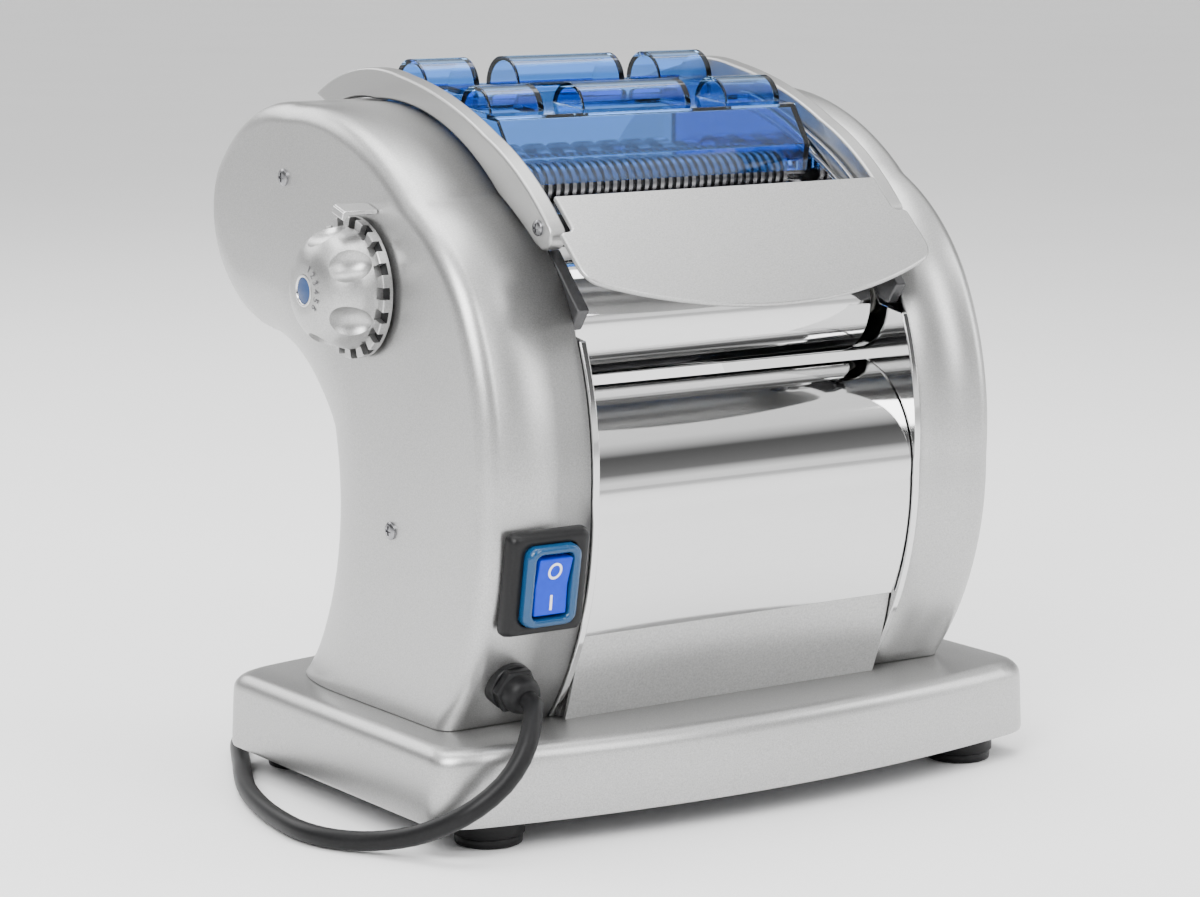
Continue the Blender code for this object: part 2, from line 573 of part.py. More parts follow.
def make_knob():
    knob = add_piece("knob", turned(knob_profile(), KNOB_AXIS, 30), "silver_paint", KNOB)
    for flute in range(FINGER_FLUTES):
        angle = math.radians(90 + 360 / FINGER_FLUTES * flute)
        tool = bmesh.new()
        bmesh.ops.create_uvsphere(tool, u_segments=10, v_segments=5, radius=7.6 * MM)
        bmesh.ops.scale(tool, verts=tool.verts, vec=(1.5, 1, 1))
        place = Vector((-KNOB_FLANGE_X - 19 * MM, 26.5 * MM * math.cos(angle), 26.5 * MM * math.sin(angle)))
        bmesh.ops.translate(tool, verts=tool.verts, vec=place + Vector((0, KNOB_AXIS.y, KNOB_AXIS.z)))
        cut(knob, f"finger_flute_{flute + 1}", tool)
    front = -KNOB_FLANGE_X - KNOB_DEPTH
    seat = turned([(front - 5 * MM, 0), (front - 5 * MM, 5.8 * MM), (front + 2 * MM, 5.8 * MM), (front + 2 * MM, 0)], KNOB_AXIS, 24)
    cut(knob, "cap_seat", seat)
    cap = turned([(front + 0.2 * MM, 0), (front + 0.2 * MM, 5.4 * MM), (front + 1.7 * MM, 5.4 * MM), (front + 1.7 * MM, 0)], KNOB_AXIS, 24)
    add_piece("knob_cap", cap, "cap_blue", KNOB)

    spindle = turned([(-KNOB_FLANGE_X + 0.3 * MM, 0), (-KNOB_FLANGE_X + 0.3 * MM, 4.5 * MM), (-72 * MM, 4.5 * MM), (-72 * MM, 0)], KNOB_AXIS, 16)
    shaft = add_piece("eccentric_shaft", spindle, "satin_steel", KNOB)
    start = KNOB_AXIS - TOWARDS_FRONT * GAP_TRAVEL / 2 + ACROSS * ECCENTRICITY * math.cos(KNOB_TURN / 2)
    disc = turned([(-78.5 * MM, 0), (-78.5 * MM, 9 * MM), (-68 * MM, 9 * MM), (-68 * MM, 0)], start, 28)
    cut(shaft, "eccentric_disc", disc, "UNION")

    angle = math.radians(107)
    outwards = Vector((0, -math.cos(math.radians(73)), math.sin(math.radians(73))))
    foot = KNOB_AXIS + outwards * 33 * MM
    latch = block((-147 * MM, -4.2 * MM, -1 * MM), (-131.3 * MM, 4.2 * MM, 1 * MM))
    nose = block((-147 * MM, -4.2 * MM, -3.4 * MM), (-144.6 * MM, 4.2 * MM, 1 * MM))
    turn = Matrix.Translation((0, foot.y, foot.z)) @ Matrix.Rotation(angle - math.radians(90), 4, "X")
    for part in (latch, nose):
        bmesh.ops.transform(part, matrix=turn, verts=part.verts)
    piece = add_piece("knob_latch", latch, "chrome", MACHINE)
    cut(piece, "latch_nose", nose, "UNION")


def make_rollers():
    half = ROLLER_HALF_LENGTH
    journal = 7 * MM
    front = [(DRIVE_PLANE[0], 0), (DRIVE_PLANE[0], journal), (-half, journal), (-half, ROLLER_RADIUS),
             (half, ROLLER_RADIUS), (half, journal), (CUTTER_PLANE[1], journal), (CUTTER_PLANE[1], 0)]
    add_piece("front_roller", turned(front, FRONT_AXIS, 32), "chrome", FRONT_ROLLER)
    rear = [(-half + 9 * MM, 0), (-half + 9 * MM, 11.8 * MM), (-half, 11.8 * MM), (-half, ROLLER_RADIUS),
            (half, ROLLER_RADIUS), (half, journal), (ROLLER_PLANE[1], journal), (ROLLER_PLANE[1], 0)]
    add_piece("rear_roller", turned(rear, REAR_AXIS, 32), "chrome", REAR_ROLLER)

    flange = 17 * MM
    left = [(-78.6 * MM, 9.5 * MM), (-78.6 * MM, flange), (-75.4 * MM, flange), (-75.4 * MM, 11.3 * MM),
            (-67 * MM, 11.3 * MM), (-67 * MM, 9.5 * MM)]
    add_piece("left_roller_block", turned(left, REAR_AXIS, 20), "black_plastic", CARRIER)
    right = [(75.4 * MM, 7.4 * MM), (75.4 * MM, flange), (78.6 * MM, flange), (78.6 * MM, 7.4 * MM)]
    add_piece("right_roller_block", turned(right, REAR_AXIS, 20), "black_plastic", CARRIER)
    for name, side in (("left_roller_bush", -1), ("right_roller_bush", 1)):
        low, high = sorted((side * 78 * MM, side * 83 * MM))
        bush = turned([(low, 7.3 * MM), (low, 9.7 * MM), (high, 9.7 * MM), (high, 7.3 * MM)], FRONT_AXIS, 20)
        add_piece(name, bush, "white_gear", MACHINE)


def toothed(name, axis, plane, module, teeth, bore, slot, body, phase=0.0, long_teeth=False, hub=None, thickness=1.2):
    """A spur gear as one prism, with an optional second gear beside it on the same hub."""
    addendum, dedendum = (1.0, 1.3) if not long_teeth else (0.88, 1.12)
    thickness = 1.16 if long_teeth else thickness
    outline = gear_outline(yz(axis), module, teeth, addendum * module, dedendum * module, thickness * module, phase)
    piece = add_piece(name, prism([outline], *plane), slot, body)
    far = plane[1]
    if hub:
        hub_plane, hub_module, hub_teeth, hub_phase = hub
        other = gear_outline(yz(axis), hub_module, hub_teeth, hub_module, 1.3 * hub_module, 1.2 * hub_module, hub_phase)
        hub_radius = 0.6 * min(module * teeth, hub_module * hub_teeth) / 2
        middle = prism([circle(yz(axis), hub_radius, 14, 0.1)], plane[0] + MM, hub_plane[1] - MM)
        cut(piece, f"{name}_hub", middle, "UNION")
        cut(piece, f"{name}_second", prism([other], *hub_plane), "UNION")
        far = hub_plane[1]
    cut(piece, f"{name}_bore", prism([circle(yz(axis), bore, 14, 0.07)], plane[0] - MM, far + MM))
    return piece


def angle_between(start, end):
    return math.atan2(end.z - start.z, end.y - start.y)


def mesh_phase(axis, other_axis, teeth, other_teeth, other_phase):
    """The phase that puts a gap of this gear opposite a tooth of the other one."""
    towards = angle_between(other_axis, axis)
    offset = (towards - other_phase) * other_teeth
    return towards + math.pi + math.pi / teeth + offset / teeth


def make_gears():
    shaft = 7.3 * MM
    toothed("front_roller_drive_gear", FRONT_AXIS, DRIVE_PLANE, DRIVE_MODULE, ROLLER_DRIVE_TEETH, shaft, "white_gear", FRONT_ROLLER)
    idler_phase = mesh_phase(IDLER_AXIS, FRONT_AXIS, IDLER_TEETH, ROLLER_DRIVE_TEETH, 0.0)
    toothed("drive_idler_gear", IDLER_AXIS, DRIVE_PLANE, DRIVE_MODULE, IDLER_TEETH, 4.3 * MM, "white_gear", IDLER, idler_phase)
    pinion_phase = mesh_phase(MOTOR_AXIS, IDLER_AXIS, PINION_TEETH, IDLER_TEETH, idler_phase)
    pinion = toothed("motor_pinion", MOTOR_AXIS, DRIVE_PLANE, DRIVE_MODULE, PINION_TEETH, 3 * MM, "gear_steel", PINION, pinion_phase,
                     thickness=1.1)
    shaft_start, shaft_end = DRIVE_PLANE[0] - 1 * MM, -78.4 * MM - GAP
    output = turned([(shaft_start, 0), (shaft_start, 4 * MM), (shaft_end, 4 * MM), (shaft_end, 0)], MOTOR_AXIS, 16)
    cut(pinion, "motor_output_shaft", output, "UNION")

    closed_distance = (FRONT_AXIS - REAR_AXIS).length - GAP_TRAVEL
    roller_module = closed_distance / ROLLER_TEETH
    toothed("front_roller_gear", FRONT_AXIS, ROLLER_PLANE, roller_module, ROLLER_TEETH, shaft, "gear_steel", FRONT_ROLLER,
            0.0, long_teeth=True, hub=(CUTTER_PLANE, CUTTER_MODULE, CLUSTER_TEETH, 0.0))
    rear_phase = mesh_phase(REAR_AXIS, FRONT_AXIS, ROLLER_TEETH, ROLLER_TEETH, 0.0)
    toothed("rear_roller_gear", REAR_AXIS, ROLLER_PLANE, roller_module, ROLLER_TEETH, shaft, "gear_steel", REAR_ROLLER,
            rear_phase, long_teeth=True)

    link_phase = mesh_phase(CUTTER_IDLER_AXIS, FRONT_AXIS, CUTTER_IDLER_TEETH, CLUSTER_TEETH, 0.0)
    toothed("cutter_idler_gear", CUTTER_IDLER_AXIS, CUTTER_PLANE, CUTTER_MODULE, CUTTER_IDLER_TEETH, 3.3 * MM, "gear_steel",
            CUTTER_IDLER, link_phase)
    first = mesh_phase(CUTTER_AXES[0], CUTTER_IDLER_AXIS, CUTTER_TEETH, CUTTER_IDLER_TEETH, link_phase)
    second = mesh_phase(CUTTER_AXES[1], CUTTER_AXES[0], CUTTER_TEETH, CUTTER_TEETH, first)
    third = second
    fourth = mesh_phase(CUTTER_AXES[3], CUTTER_AXES[2], CUTTER_TEETH, CUTTER_TEETH, third)
    link_third = mesh_phase(CUTTER_AXES[2], CUTTER_AXES[1], LINK_TEETH, LINK_TEETH, 0.0)
    hubs = [None, (LINK_PLANE, CUTTER_MODULE, LINK_TEETH, 0.0), (LINK_PLANE, CUTTER_MODULE, LINK_TEETH, link_third), None]
    for name, axis, body, phase, hub in zip(CUTTER_NAMES, CUTTER_AXES, CUTTERS_BODIES, (first, second, third, fourth), hubs):
        toothed(f"{name}_gear", axis, CUTTER_PLANE, CUTTER_MODULE, CUTTER_TEETH, 4.3 * MM, "gear_steel", body, phase, hub=hub)


def make_cutters():
    half = 73 * MM
    journal = 4 * MM
    for name, axis, body in zip(CUTTER_NAMES, CUTTER_AXES, CUTTERS_BODIES):
        profile = [(-81.5 * MM, 0), (-81.5 * MM, journal), (-half, journal), (-half, CUTTER_RADIUS), (half, CUTTER_RADIUS),
                   (half, journal), (LINK_PLANE[1], journal), (LINK_PLANE[1], 0)]
        add_piece(name, turned(profile, axis, 16), "satin_steel", body)


def make_motor():
    half = 78.4 * MM
    body = turned([(-half, 0), (-half, MOTOR_RADIUS + 2 * MM), (-half + 22 * MM, MOTOR_RADIUS + 2 * MM),
                   (-half + 22 * MM, MOTOR_RADIUS), (34 * MM, MOTOR_RADIUS), (36 * MM, MOTOR_RADIUS - 3 * MM), (36 * MM, 0)], MOTOR_AXIS, 22)
    add_piece("gear_motor", body, "motor_grey", MACHINE)


def make_tray():
    """The curved-bottomed plate in front of the rollers, drawn flat and then tilted back about its top edge."""
    top, shoulder = 80, 86.5
    outline = [(-top, 0), (-top, 17), (-shoulder, 19), (-shoulder, 38)]
    outline += arc_through((-80, 46.5), (0, TRAY_LENGTH / MM), (80, 46.5), 14) + [(80, 46.5), (shoulder, 38)]
    outline += [(shoulder, 19), (top, 17), (top, 0)]
    plate = prism([[(a * MM, -b * MM) for a, b in outline][::-1]], -TRAY_THICKNESS, 0, "Z")
    tilt = Matrix.Translation(TRAY_TOP) @ Matrix.Rotation(TRAY_TILT, 4, "X")
    bmesh.ops.transform(plate, matrix=tilt, verts=plate.verts)
    tray = add_piece("feed_tray", plate, "silver_paint", TRAY)
    for name, side in (("left_ear", -1), ("right_ear", 1)):
        low, high = sorted((side * 75 * MM, side * 77.6 * MM))
        points = [(TRAY_PIVOT.y + a * MM, TRAY_PIVOT.z + b * MM) for a, b in ((-5, -6), (6, -5), (6, 4), (-2, 7), (-11, 0))]
        cut(tray, name, prism([points], low, high), "UNION")
    for name, side in (("left_tray_screw", -1), ("right_tray_screw", 1)):
        x = side * (RIM_OUTER_X + 0.3 * MM)
        tip = side * (RIM_OUTER_X + 1.6 * MM)
        profile = [(x, 0), (x, 3.3 * MM), (tip, 2.9 * MM), (tip, 0)]
        add_piece(name, turned(profile, TRAY_PIVOT, 16), "satin_steel", MACHINE)


def half_tube(centre, radius, low, high, drop):
    """A bump's section: half a circle on straight sides that reach down by drop."""
    (cy, cz) = centre
    points = [(cy + radius * math.cos(math.pi * i / 8), cz + radius * math.sin(math.pi * i / 8)) for i in range(9)]
    return prism([points + [(cy - radius, cz - drop), (cy + radius, cz - drop)]], low, high)


def make_guard():
    """A clear cover: a box open below, with two rows of three hollow bumps along its top."""
    half = 75.6 * MM
    wall = 2 * MM
    outer = [(-22, 252), (-24.5, 263), (-13.5, 279.5), (72, 287.5), (86, 276), (86, 252)]
    inner = [(-20, 240), (-22.3, 262.8), (-12.3, 277.4), (71.3, 285.3), (84, 275), (84, 240)]
    guard = add_piece("guard", prism([[(a * MM, b * MM) for a, b in outer]], -half, half), "clear_blue", GUARD)
    spans = [(-73.5, -47), (-28, 27), (45, 73.5)]
    for row, (y, z, radius) in {"front": (6, 279.5, 11.5), "rear": (56, 287.3, 12.4)}.items():
        for number, (low, high) in enumerate(spans, 1):
            bump = half_tube((y * MM, z * MM), radius * MM, low * MM, high * MM, 6 * MM)
            cut(guard, f"{row}_bump_{number}", bump, "UNION")
    cut(guard, "journal_room", block((-80 * MM, -17 * MM, 240 * MM), (80 * MM, 83 * MM, CUTTER_Z + 6 * MM)))
    cut(guard, "guard_inside", prism([[(a * MM, b * MM) for a, b in inner]], -half + wall, half - wall))
    for row, (y, z, radius) in {"front": (6, 279.5, 9.5), "rear": (56, 287.3, 10.4)}.items():
        for number, (low, high) in enumerate(spans, 1):
            hollow = half_tube((y * MM, z * MM), radius * MM, low * MM + wall, high * MM - wall, 8 * MM)
            cut(guard, f"{row}_hollow_{number}", hollow)


def smooth_route(points, spacing):
    """Points along a Catmull-Rom curve through the route's own points."""
    ends = [points[0] * 2 - points[1]] + points + [points[-1] * 2 - points[-2]]
    route = []
    for before, start, end, after in zip(ends, ends[1:], ends[2:], ends[3:]):
        steps = max(1, round((end - start).length / spacing))
        for i in range(steps):
            t = i / steps
            route.append(0.5 * (2 * start + (end - before) * t + (2 * before - 5 * start + 4 * end - after) * t ** 2
                                + (3 * start - before - 3 * end + after) * t ** 3))
    return route + [points[-1]]


# Where the cord leaves the gland, round the base's front corner, along its left side and behind it to the coil
CORD_ROUTE = [
    Vector((x * MM, y * MM, z * MM))
    for x, y, z in (
        (-117.5, -101.5, 48.6), (-123.5, -104.5, 40), (-132, -105, 31), (-142.6, -102.5, 23), (-151, -94.5, 16),
        (-158.5, -81, 9.4), (-167, -66, 5.4), (-176, -52, 4.4), (-180.8, -36, 4.4), (-180.2, -17, 4.4), (-176, 7.4, 4.4),
        (-168.4, 32.8, 4.4), (-158.3, 55.6, 4.4), (-149.5, 73, 4.4), (-141.5, 89, 4.4), (-133, 105, 4.4),
        (-121, 120, 4.4), (-104, 130.5, 4.4), (-84, 135, 4.4), (-58, 136, 4.4), (-29.6, 136, 4.4), (0.4, 136, 4.4),
    )
]


def tube(points, radius):
    curve = bpy.data.curves.new("cord", "CURVE")
    curve.dimensions = "3D"
    curve.bevel_depth = radius
    curve.bevel_resolution = 2
    curve.use_fill_caps = True
    spline = curve.splines.new("POLY")
    spline.points.add(len(points) - 1)
    for point, place in zip(spline.points, points):
        point.co = (*place, 1)
    return curve


def add_cord_piece(name, points):
    drawn = bpy.data.objects.new(name, tube(points, CORD_RADIUS))
    PARTS.objects.link(drawn)
    drawn.data.materials.append(finish("black_rubber"))
    drawn.parent = MACHINE


def make_cord():
    start = [GLAND_FRAME @ Vector((0, 0, out * MM)) for out in (13.4, 17.5)]
    add_cord_piece("mains_cord", smooth_route(start + CORD_ROUTE, 20 * MM))
    inner = COIL_TURN_RADIUS - 2.1 * CORD_RADIUS
    outer = COIL_TURN_RADIUS + 2.1 * CORD_RADIUS
    height = 4.2 * CORD_RADIUS
    corner = 3 * MM
    base = FLOOR_CLEARANCE
    ring = bmesh.new()
    section = [(inner, base + corner), (inner + corner, base), (outer - corner, base), (outer, base + corner),
               (outer, base + height - corner), (outer - corner, base + height), (inner + corner, base + height),
               (inner, base + height - corner)]
    verts = [ring.verts.new((COIL_CENTRE.x + r, COIL_CENTRE.y, z)) for r, z in section]
    edges = [ring.edges.new((verts[i], verts[(i + 1) % len(verts)])) for i in range(len(verts))]
    bmesh.ops.spin(ring, geom=verts + edges, cent=COIL_CENTRE, axis=(0, 0, 1), angle=2 * math.pi, steps=24, use_merge=True)
    add_piece("cord_coil", ring, "black_rubber", MACHINE)
    plug_x = COIL_CENTRE.x + 42.4 * MM
    plug_y = COIL_CENTRE.y - COIL_TURN_RADIUS - CORD_RADIUS
    plug = block((plug_x, plug_y - 16 * MM, 0.5 * MM), (plug_x + 34 * MM, plug_y + 16 * MM, 25.5 * MM))
    round_edges(plug, lambda e: True, 5 * MM, 2)
    piece = add_piece("mains_plug", plug, "black_plastic", MACHINE)
    for number, y in enumerate((-9.5, 9.5), 1):
        start, end = plug_x + 30 * MM, plug_x + 53 * MM
        pin = turned([(start, 0), (start, 2.3 * MM), (end, 2.3 * MM), (end, 0)], Vector((0, plug_y + y * MM, 13 * MM)), 12)
        cut(piece, f"plug_pin_{number}", pin, "UNION")


def frame_on_front(x, z, off):
    """A frame on the housing's front face: +X along the rollers, -Y straight out of the face, +Z up along it."""
    path = path_of_arcs(FRONT_ARCS, 40)
    place = min(range(1, len(path) - 1), key=lambda i: abs(path[i][1] - z))
    (ya, za), (yb, zb) = path[place - 1], path[place + 1]
    tilt = math.atan2(ya - yb, zb - za)
    out = Vector((0, -math.cos(tilt), -math.sin(tilt)))
    return Matrix.Translation(Vector((x, path[place][0], z)) + out * off) @ Matrix.Rotation(tilt, 4, "X")


def solve_idler(start, end, first_distance, second_distance, side):
    """The point at given distances from two axes, to one side of the line between them."""
    line = end - start
    along = (line.length ** 2 + first_distance ** 2 - second_distance ** 2) / (2 * line.length)
    away = math.sqrt(first_distance ** 2 - along ** 2)
    across = Vector((0, -line.z, line.y)).normalized()
    return start + line.normalized() * along + across * away * side


clear_scene()
PARTS = new_collection("pasta_roller_machine")
CUTTERS = new_collection("cutters")

IDLER_AXIS_Z = FRONT_AXIS.z - math.sqrt((DRIVE_MODULE * (IDLER_TEETH + ROLLER_DRIVE_TEETH) / 2) ** 2 - (IDLER_AXIS_Y - FRONT_AXIS.y) ** 2)
IDLER_AXIS = Vector((0, IDLER_AXIS_Y, IDLER_AXIS_Z))
MOTOR_AXIS_Z = IDLER_AXIS_Z - math.sqrt((DRIVE_MODULE * (IDLER_TEETH + PINION_TEETH) / 2) ** 2 - (MOTOR_AXIS_Y - IDLER_AXIS_Y) ** 2)
MOTOR_AXIS = Vector((0, MOTOR_AXIS_Y, MOTOR_AXIS_Z))
CUTTER_IDLER_AXIS = solve_idler(FRONT_AXIS, CUTTER_AXES[0], CUTTER_MODULE * (CLUSTER_TEETH + CUTTER_IDLER_TEETH) / 2,
                                CUTTER_MODULE * (CUTTER_IDLER_TEETH + CUTTER_TEETH) / 2, 1)

SWITCH_FRAME = frame_on_front(-105 * MM, 106 * MM, 1.9 * MM)
GLAND_PLACE = frame_on_front(-110.3 * MM, 63 * MM, 2.5 * MM).translation
GLAND_FRAME = Matrix.Translation(GLAND_PLACE) @ Matrix.Rotation(math.radians(90 + 15), 4, "X")

MACHINE = empty_at("machine", Vector((0, 0, 0)))
FRONT_ROLLER = empty_at("front_roller_axis", FRONT_AXIS, MACHINE)
CARRIER = empty_at("roller_carrier_place", REAR_AXIS, MACHINE)
REAR_ROLLER = empty_at("rear_roller_axis", REAR_AXIS, MACHINE)
KNOB = empty_at("knob_axis", KNOB_AXIS, MACHINE)
IDLER = empty_at("drive_idler_axis", IDLER_AXIS, MACHINE)
PINION = empty_at("motor_pinion_axis", MOTOR_AXIS, MACHINE)
CUTTER_IDLER = empty_at("cutter_idler_axis", CUTTER_IDLER_AXIS, MACHINE)
CUTTERS_BODIES = [empty_at(f"{name}_axis", axis, MACHINE) for name, axis in zip(CUTTER_NAMES, CUTTER_AXES)]
ROCKER = empty_at("rocker_pivot", SWITCH_FRAME @ Vector((0, -3 * MM, 0)), MACHINE)
TRAY = empty_at("tray_pivot", TRAY_PIVOT, MACHINE)
GUARD = empty_at("guard_place", Vector((0, 30 * MM, 252 * MM)), MACHINE)

make_base()
make_frame()
make_panels()
make_housings()
make_switch()
make_gland()
make_knob()
make_rollers()
make_gears()
make_cutters()
make_motor()
make_tray()
make_guard()
make_cord()
MACHINE.location = (-CENTRE_X, -CENTRE_Y, 0)
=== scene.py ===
"""The looks of the table-top pasta machine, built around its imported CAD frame.

Shapes are laid out in millimetres from the centre of the base, as (x, y, z), or as (y, z) for what is
extruded or turned along the rollers. place() turns them into metres in the frame, from the base's own box.
"""

import json
import math

import bmesh
import bpy
from mathutils import Matrix, Vector


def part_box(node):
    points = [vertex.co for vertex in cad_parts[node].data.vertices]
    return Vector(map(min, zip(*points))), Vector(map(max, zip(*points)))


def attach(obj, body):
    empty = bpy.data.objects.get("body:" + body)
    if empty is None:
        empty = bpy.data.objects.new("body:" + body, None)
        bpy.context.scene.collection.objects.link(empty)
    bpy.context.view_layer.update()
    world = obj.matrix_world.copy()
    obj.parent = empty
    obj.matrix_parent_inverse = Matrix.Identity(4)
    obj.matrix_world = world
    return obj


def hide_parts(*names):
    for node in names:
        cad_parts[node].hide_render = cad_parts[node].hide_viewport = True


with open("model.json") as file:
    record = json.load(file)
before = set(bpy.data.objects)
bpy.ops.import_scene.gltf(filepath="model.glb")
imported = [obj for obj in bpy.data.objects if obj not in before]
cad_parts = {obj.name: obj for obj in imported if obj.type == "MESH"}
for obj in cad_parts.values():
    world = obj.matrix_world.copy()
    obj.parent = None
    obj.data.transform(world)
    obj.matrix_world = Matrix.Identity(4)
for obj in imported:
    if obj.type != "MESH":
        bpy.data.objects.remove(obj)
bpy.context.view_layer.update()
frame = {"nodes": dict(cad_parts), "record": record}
LOW, HIGH = (Vector(corner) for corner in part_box("base_shell"))
BASE_CENTRE = Vector(((LOW.x + HIGH.x) / 2, (LOW.y + HIGH.y) / 2, 0))
MM = 0.001
SHARP_ABOVE = 34  # degrees between faces past which an edge is drawn sharp

PLATE_INNER, PLATE_OUTER = 79, 82
RIM_INNER, RIM_OUTER = 80.6, 88.5
HOUSING_INNER, HOUSING_FACE, COVER_FACE = 82.5, 131, 123.5
BASE_TOP = 42
FRONT_AXIS, REAR_AXIS = (-45.5, 200.2), (1.5, 212.5)
ROLLER_RADIUS, ROLLER_HALF = 23.3, 74.5
CUTTER_RADIUS, CUTTER_HALF = 10.9, 73
KNOB_FLANGE_X, KNOB_DEPTH = 133, 24.5
TRAY_TILT = math.radians(43)
TRAY_TOP, TRAY_PIVOT = (-62.5, 251.7), (-64.2, 239.6)
CORD_RADIUS = 4
COIL_CENTRE, COIL_RADIUS, COIL_TOP = (30, 184), 48, 3 * CORD_RADIUS + 0.8

FRONT_ARCS = [((-60, 42.3), (-83.6, 84), (-91.5, 134)), ((-91.5, 134), (-89.1, 172.5), (-75.8, 210.4))]
BROW_ARC = ((-75.8, 210.4), (-58, 233.5), (-34, 250.2))
CROWN_ARCS = [((-34, 250.2), (7.5, 275), (59.8, 282.6)), ((59.8, 282.6), (97.5, 277), (127, 255))]
HEAD_ARCS = [((127, 255), (134.2, 229), (122, 202)), ((122, 202), (106, 190), (86, 185))]
BACK_ARCS = [((86, 185), (58, 172), (40, 150)), ((40, 150), (42, 96), (73, 42.3))]
RIM_TOP_ARCS = [
    ((110, 283), (84, 293.5), (40, 294)), ((40, 294), (8, 286.5), (-24, 273.5)),
    ((-24, 273.5), (-50, 259), (-71, 240.5)),
]


# Outlines

def arc_through(start, middle, end, steps):
    (ax, ay), (bx, by), (cx, cy) = start, middle, end
    d = 2 * (ax * (by - cy) + bx * (cy - ay) + cx * (ay - by))
    sa, sb, sc = ax * ax + ay * ay, bx * bx + by * by, cx * cx + cy * cy
    ox = (sa * (by - cy) + sb * (cy - ay) + sc * (ay - by)) / d
    oy = (sa * (cx - bx) + sb * (ax - cx) + sc * (bx - ax)) / d
    radius = math.hypot(ax - ox, ay - oy)
    first, last = (math.atan2(y - oy, x - ox) for x, y in (start, end))
    via = math.atan2(by - oy, bx - ox)
    turn = (last - first) % (2 * math.pi)
    if (via - first) % (2 * math.pi) > turn:
        turn -= 2 * math.pi
    angles = [first + turn * i / steps for i in range(steps + 1)]
    return [(ox + radius * math.cos(a), oy + radius * math.sin(a)) for a in angles]


def path_of_arcs(arcs, steps):
    path = [arcs[0][0]]
    for arc in arcs:
        path += arc_through(*arc, steps)[1:]
    return path


def offset_path(path, distance):
    """The path moved to its left by distance."""
    moved = []
    for i, (a, b) in enumerate(path):
        before, after = path[max(i - 1, 0)], path[min(i + 1, len(path) - 1)]
        da, db = after[0] - before[0], after[1] - before[1]
        size = math.hypot(da, db)
        moved.append((a - db / size * distance, b + da / size * distance))
    return moved


def strip(path, thickness):
    """A closed outline of a bent sheet that grows to the right of its path, which is the CAD model's other side."""
    return path + offset_path(path, -thickness)[::-1]


def circle(centre, radius, steps=32):
    angles = [2 * math.pi * i / steps for i in range(steps)]
    return [(centre[0] + radius * math.cos(a), centre[1] + radius * math.sin(a)) for a in angles]


def rounded_rectangle(width, height, radius, steps=5):
    points = []
    for corner, (sx, sy) in enumerate(((1, 1), (-1, 1), (-1, -1), (1, -1))):
        for i in range(steps + 1):
            angle = math.pi / 2 * (corner + i / steps)
            points.append((sx * (width / 2 - radius) + radius * math.cos(angle),
                           sy * (height / 2 - radius) + radius * math.sin(angle)))
    return points


# Meshes

def place(x, y, z):
    return BASE_CENTRE + Vector((x, y, z)) * MM


def loft(rings, caps=(True, True)):
    """Faces between rings of points, each a list of vectors in the frame."""
    shape = bmesh.new()
    made = [[shape.verts.new(point) for point in ring] for ring in rings]
    for lower, upper in zip(made, made[1:]):
        for i in range(len(lower)):
            j = (i + 1) % len(lower)
            shape.faces.new((lower[i], lower[j], upper[j], upper[i]))
    if caps[0]:
        shape.faces.new(made[0][::-1])
    if caps[1]:
        shape.faces.new(made[-1])
    bmesh.ops.recalc_face_normals(shape, faces=shape.faces)
    return shape


def prism(outline, low, high):
    """An outline of (y, z) extruded from x = low to x = high."""
    return loft([[place(x, a, b) for a, b in outline] for x in (low, high)])


def turned(profile, centre, steps=64):
    """A profile of (x, radius) turned about a line along the rollers through centre, which is (y, z)."""
    shape = bmesh.new()
    rings = []
    for x, radius in profile:
        if radius == 0:
            rings.append([shape.verts.new(place(x, *centre))])
        else:
            rings.append([shape.verts.new(place(x, *point)) for point in circle(centre, radius, steps)])
    for lower, upper in zip(rings, rings[1:]):
        for i in range(steps):
            j = (i + 1) % steps
            corners = [ring[k % len(ring)] for ring, k in ((lower, i), (lower, j), (upper, j), (upper, i))]
            corners = list(dict.fromkeys(corners))
            if len(corners) > 2:
                shape.faces.new(corners)
    bmesh.ops.recalc_face_normals(shape, faces=shape.faces)
    return shape


def spun(profile, matrix, steps=40):
    """A closed profile of (radius, z) turned about local Z, in a frame given by a matrix in metres."""
    rings = [[matrix @ Vector((r * MM * math.cos(a), r * MM * math.sin(a), z * MM))
              for a in (2 * math.pi * i / steps for i in range(steps))] for r, z in profile]
    return loft(rings)


def box_mesh(low, high, matrix=None):
    shape = bmesh.new()
    bmesh.ops.create_cube(shape, size=1)
    size = [(b - a) * MM for a, b in zip(low, high)]
    middle = [(a + b) / 2 for a, b in zip(low, high)]
    bmesh.ops.scale(shape, verts=shape.verts, vec=size)
    bmesh.ops.translate(shape, verts=shape.verts, vec=Vector(middle) * MM if matrix else place(*middle))
    if matrix:
        bmesh.ops.transform(shape, matrix=matrix, verts=shape.verts)
    return shape


def merged(*shapes):
    whole = bmesh.new()
    for shape in shapes:
        data = bpy.data.meshes.new("part")
        shape.to_mesh(data)
        shape.free()
        whole.from_mesh(data)
        bpy.data.meshes.remove(data)
    return whole


def smooth_faces(data, sharp_above):
    shape = bmesh.new()
    shape.from_mesh(data)
    for face in shape.faces:
        face.smooth = True
    for edge in shape.edges:
        edge.smooth = len(edge.link_faces) != 2 or edge.calc_face_angle(0) < math.radians(sharp_above)
    shape.to_mesh(data)
    shape.free()


def new_object(name, shape, sharp_above=SHARP_ABOVE):
    data = bpy.data.meshes.new(name)
    shape.to_mesh(data)
    shape.free()
    smooth_faces(data, sharp_above)
    thing = bpy.data.objects.new(name, data)
    bpy.context.scene.collection.objects.link(thing)
    return thing


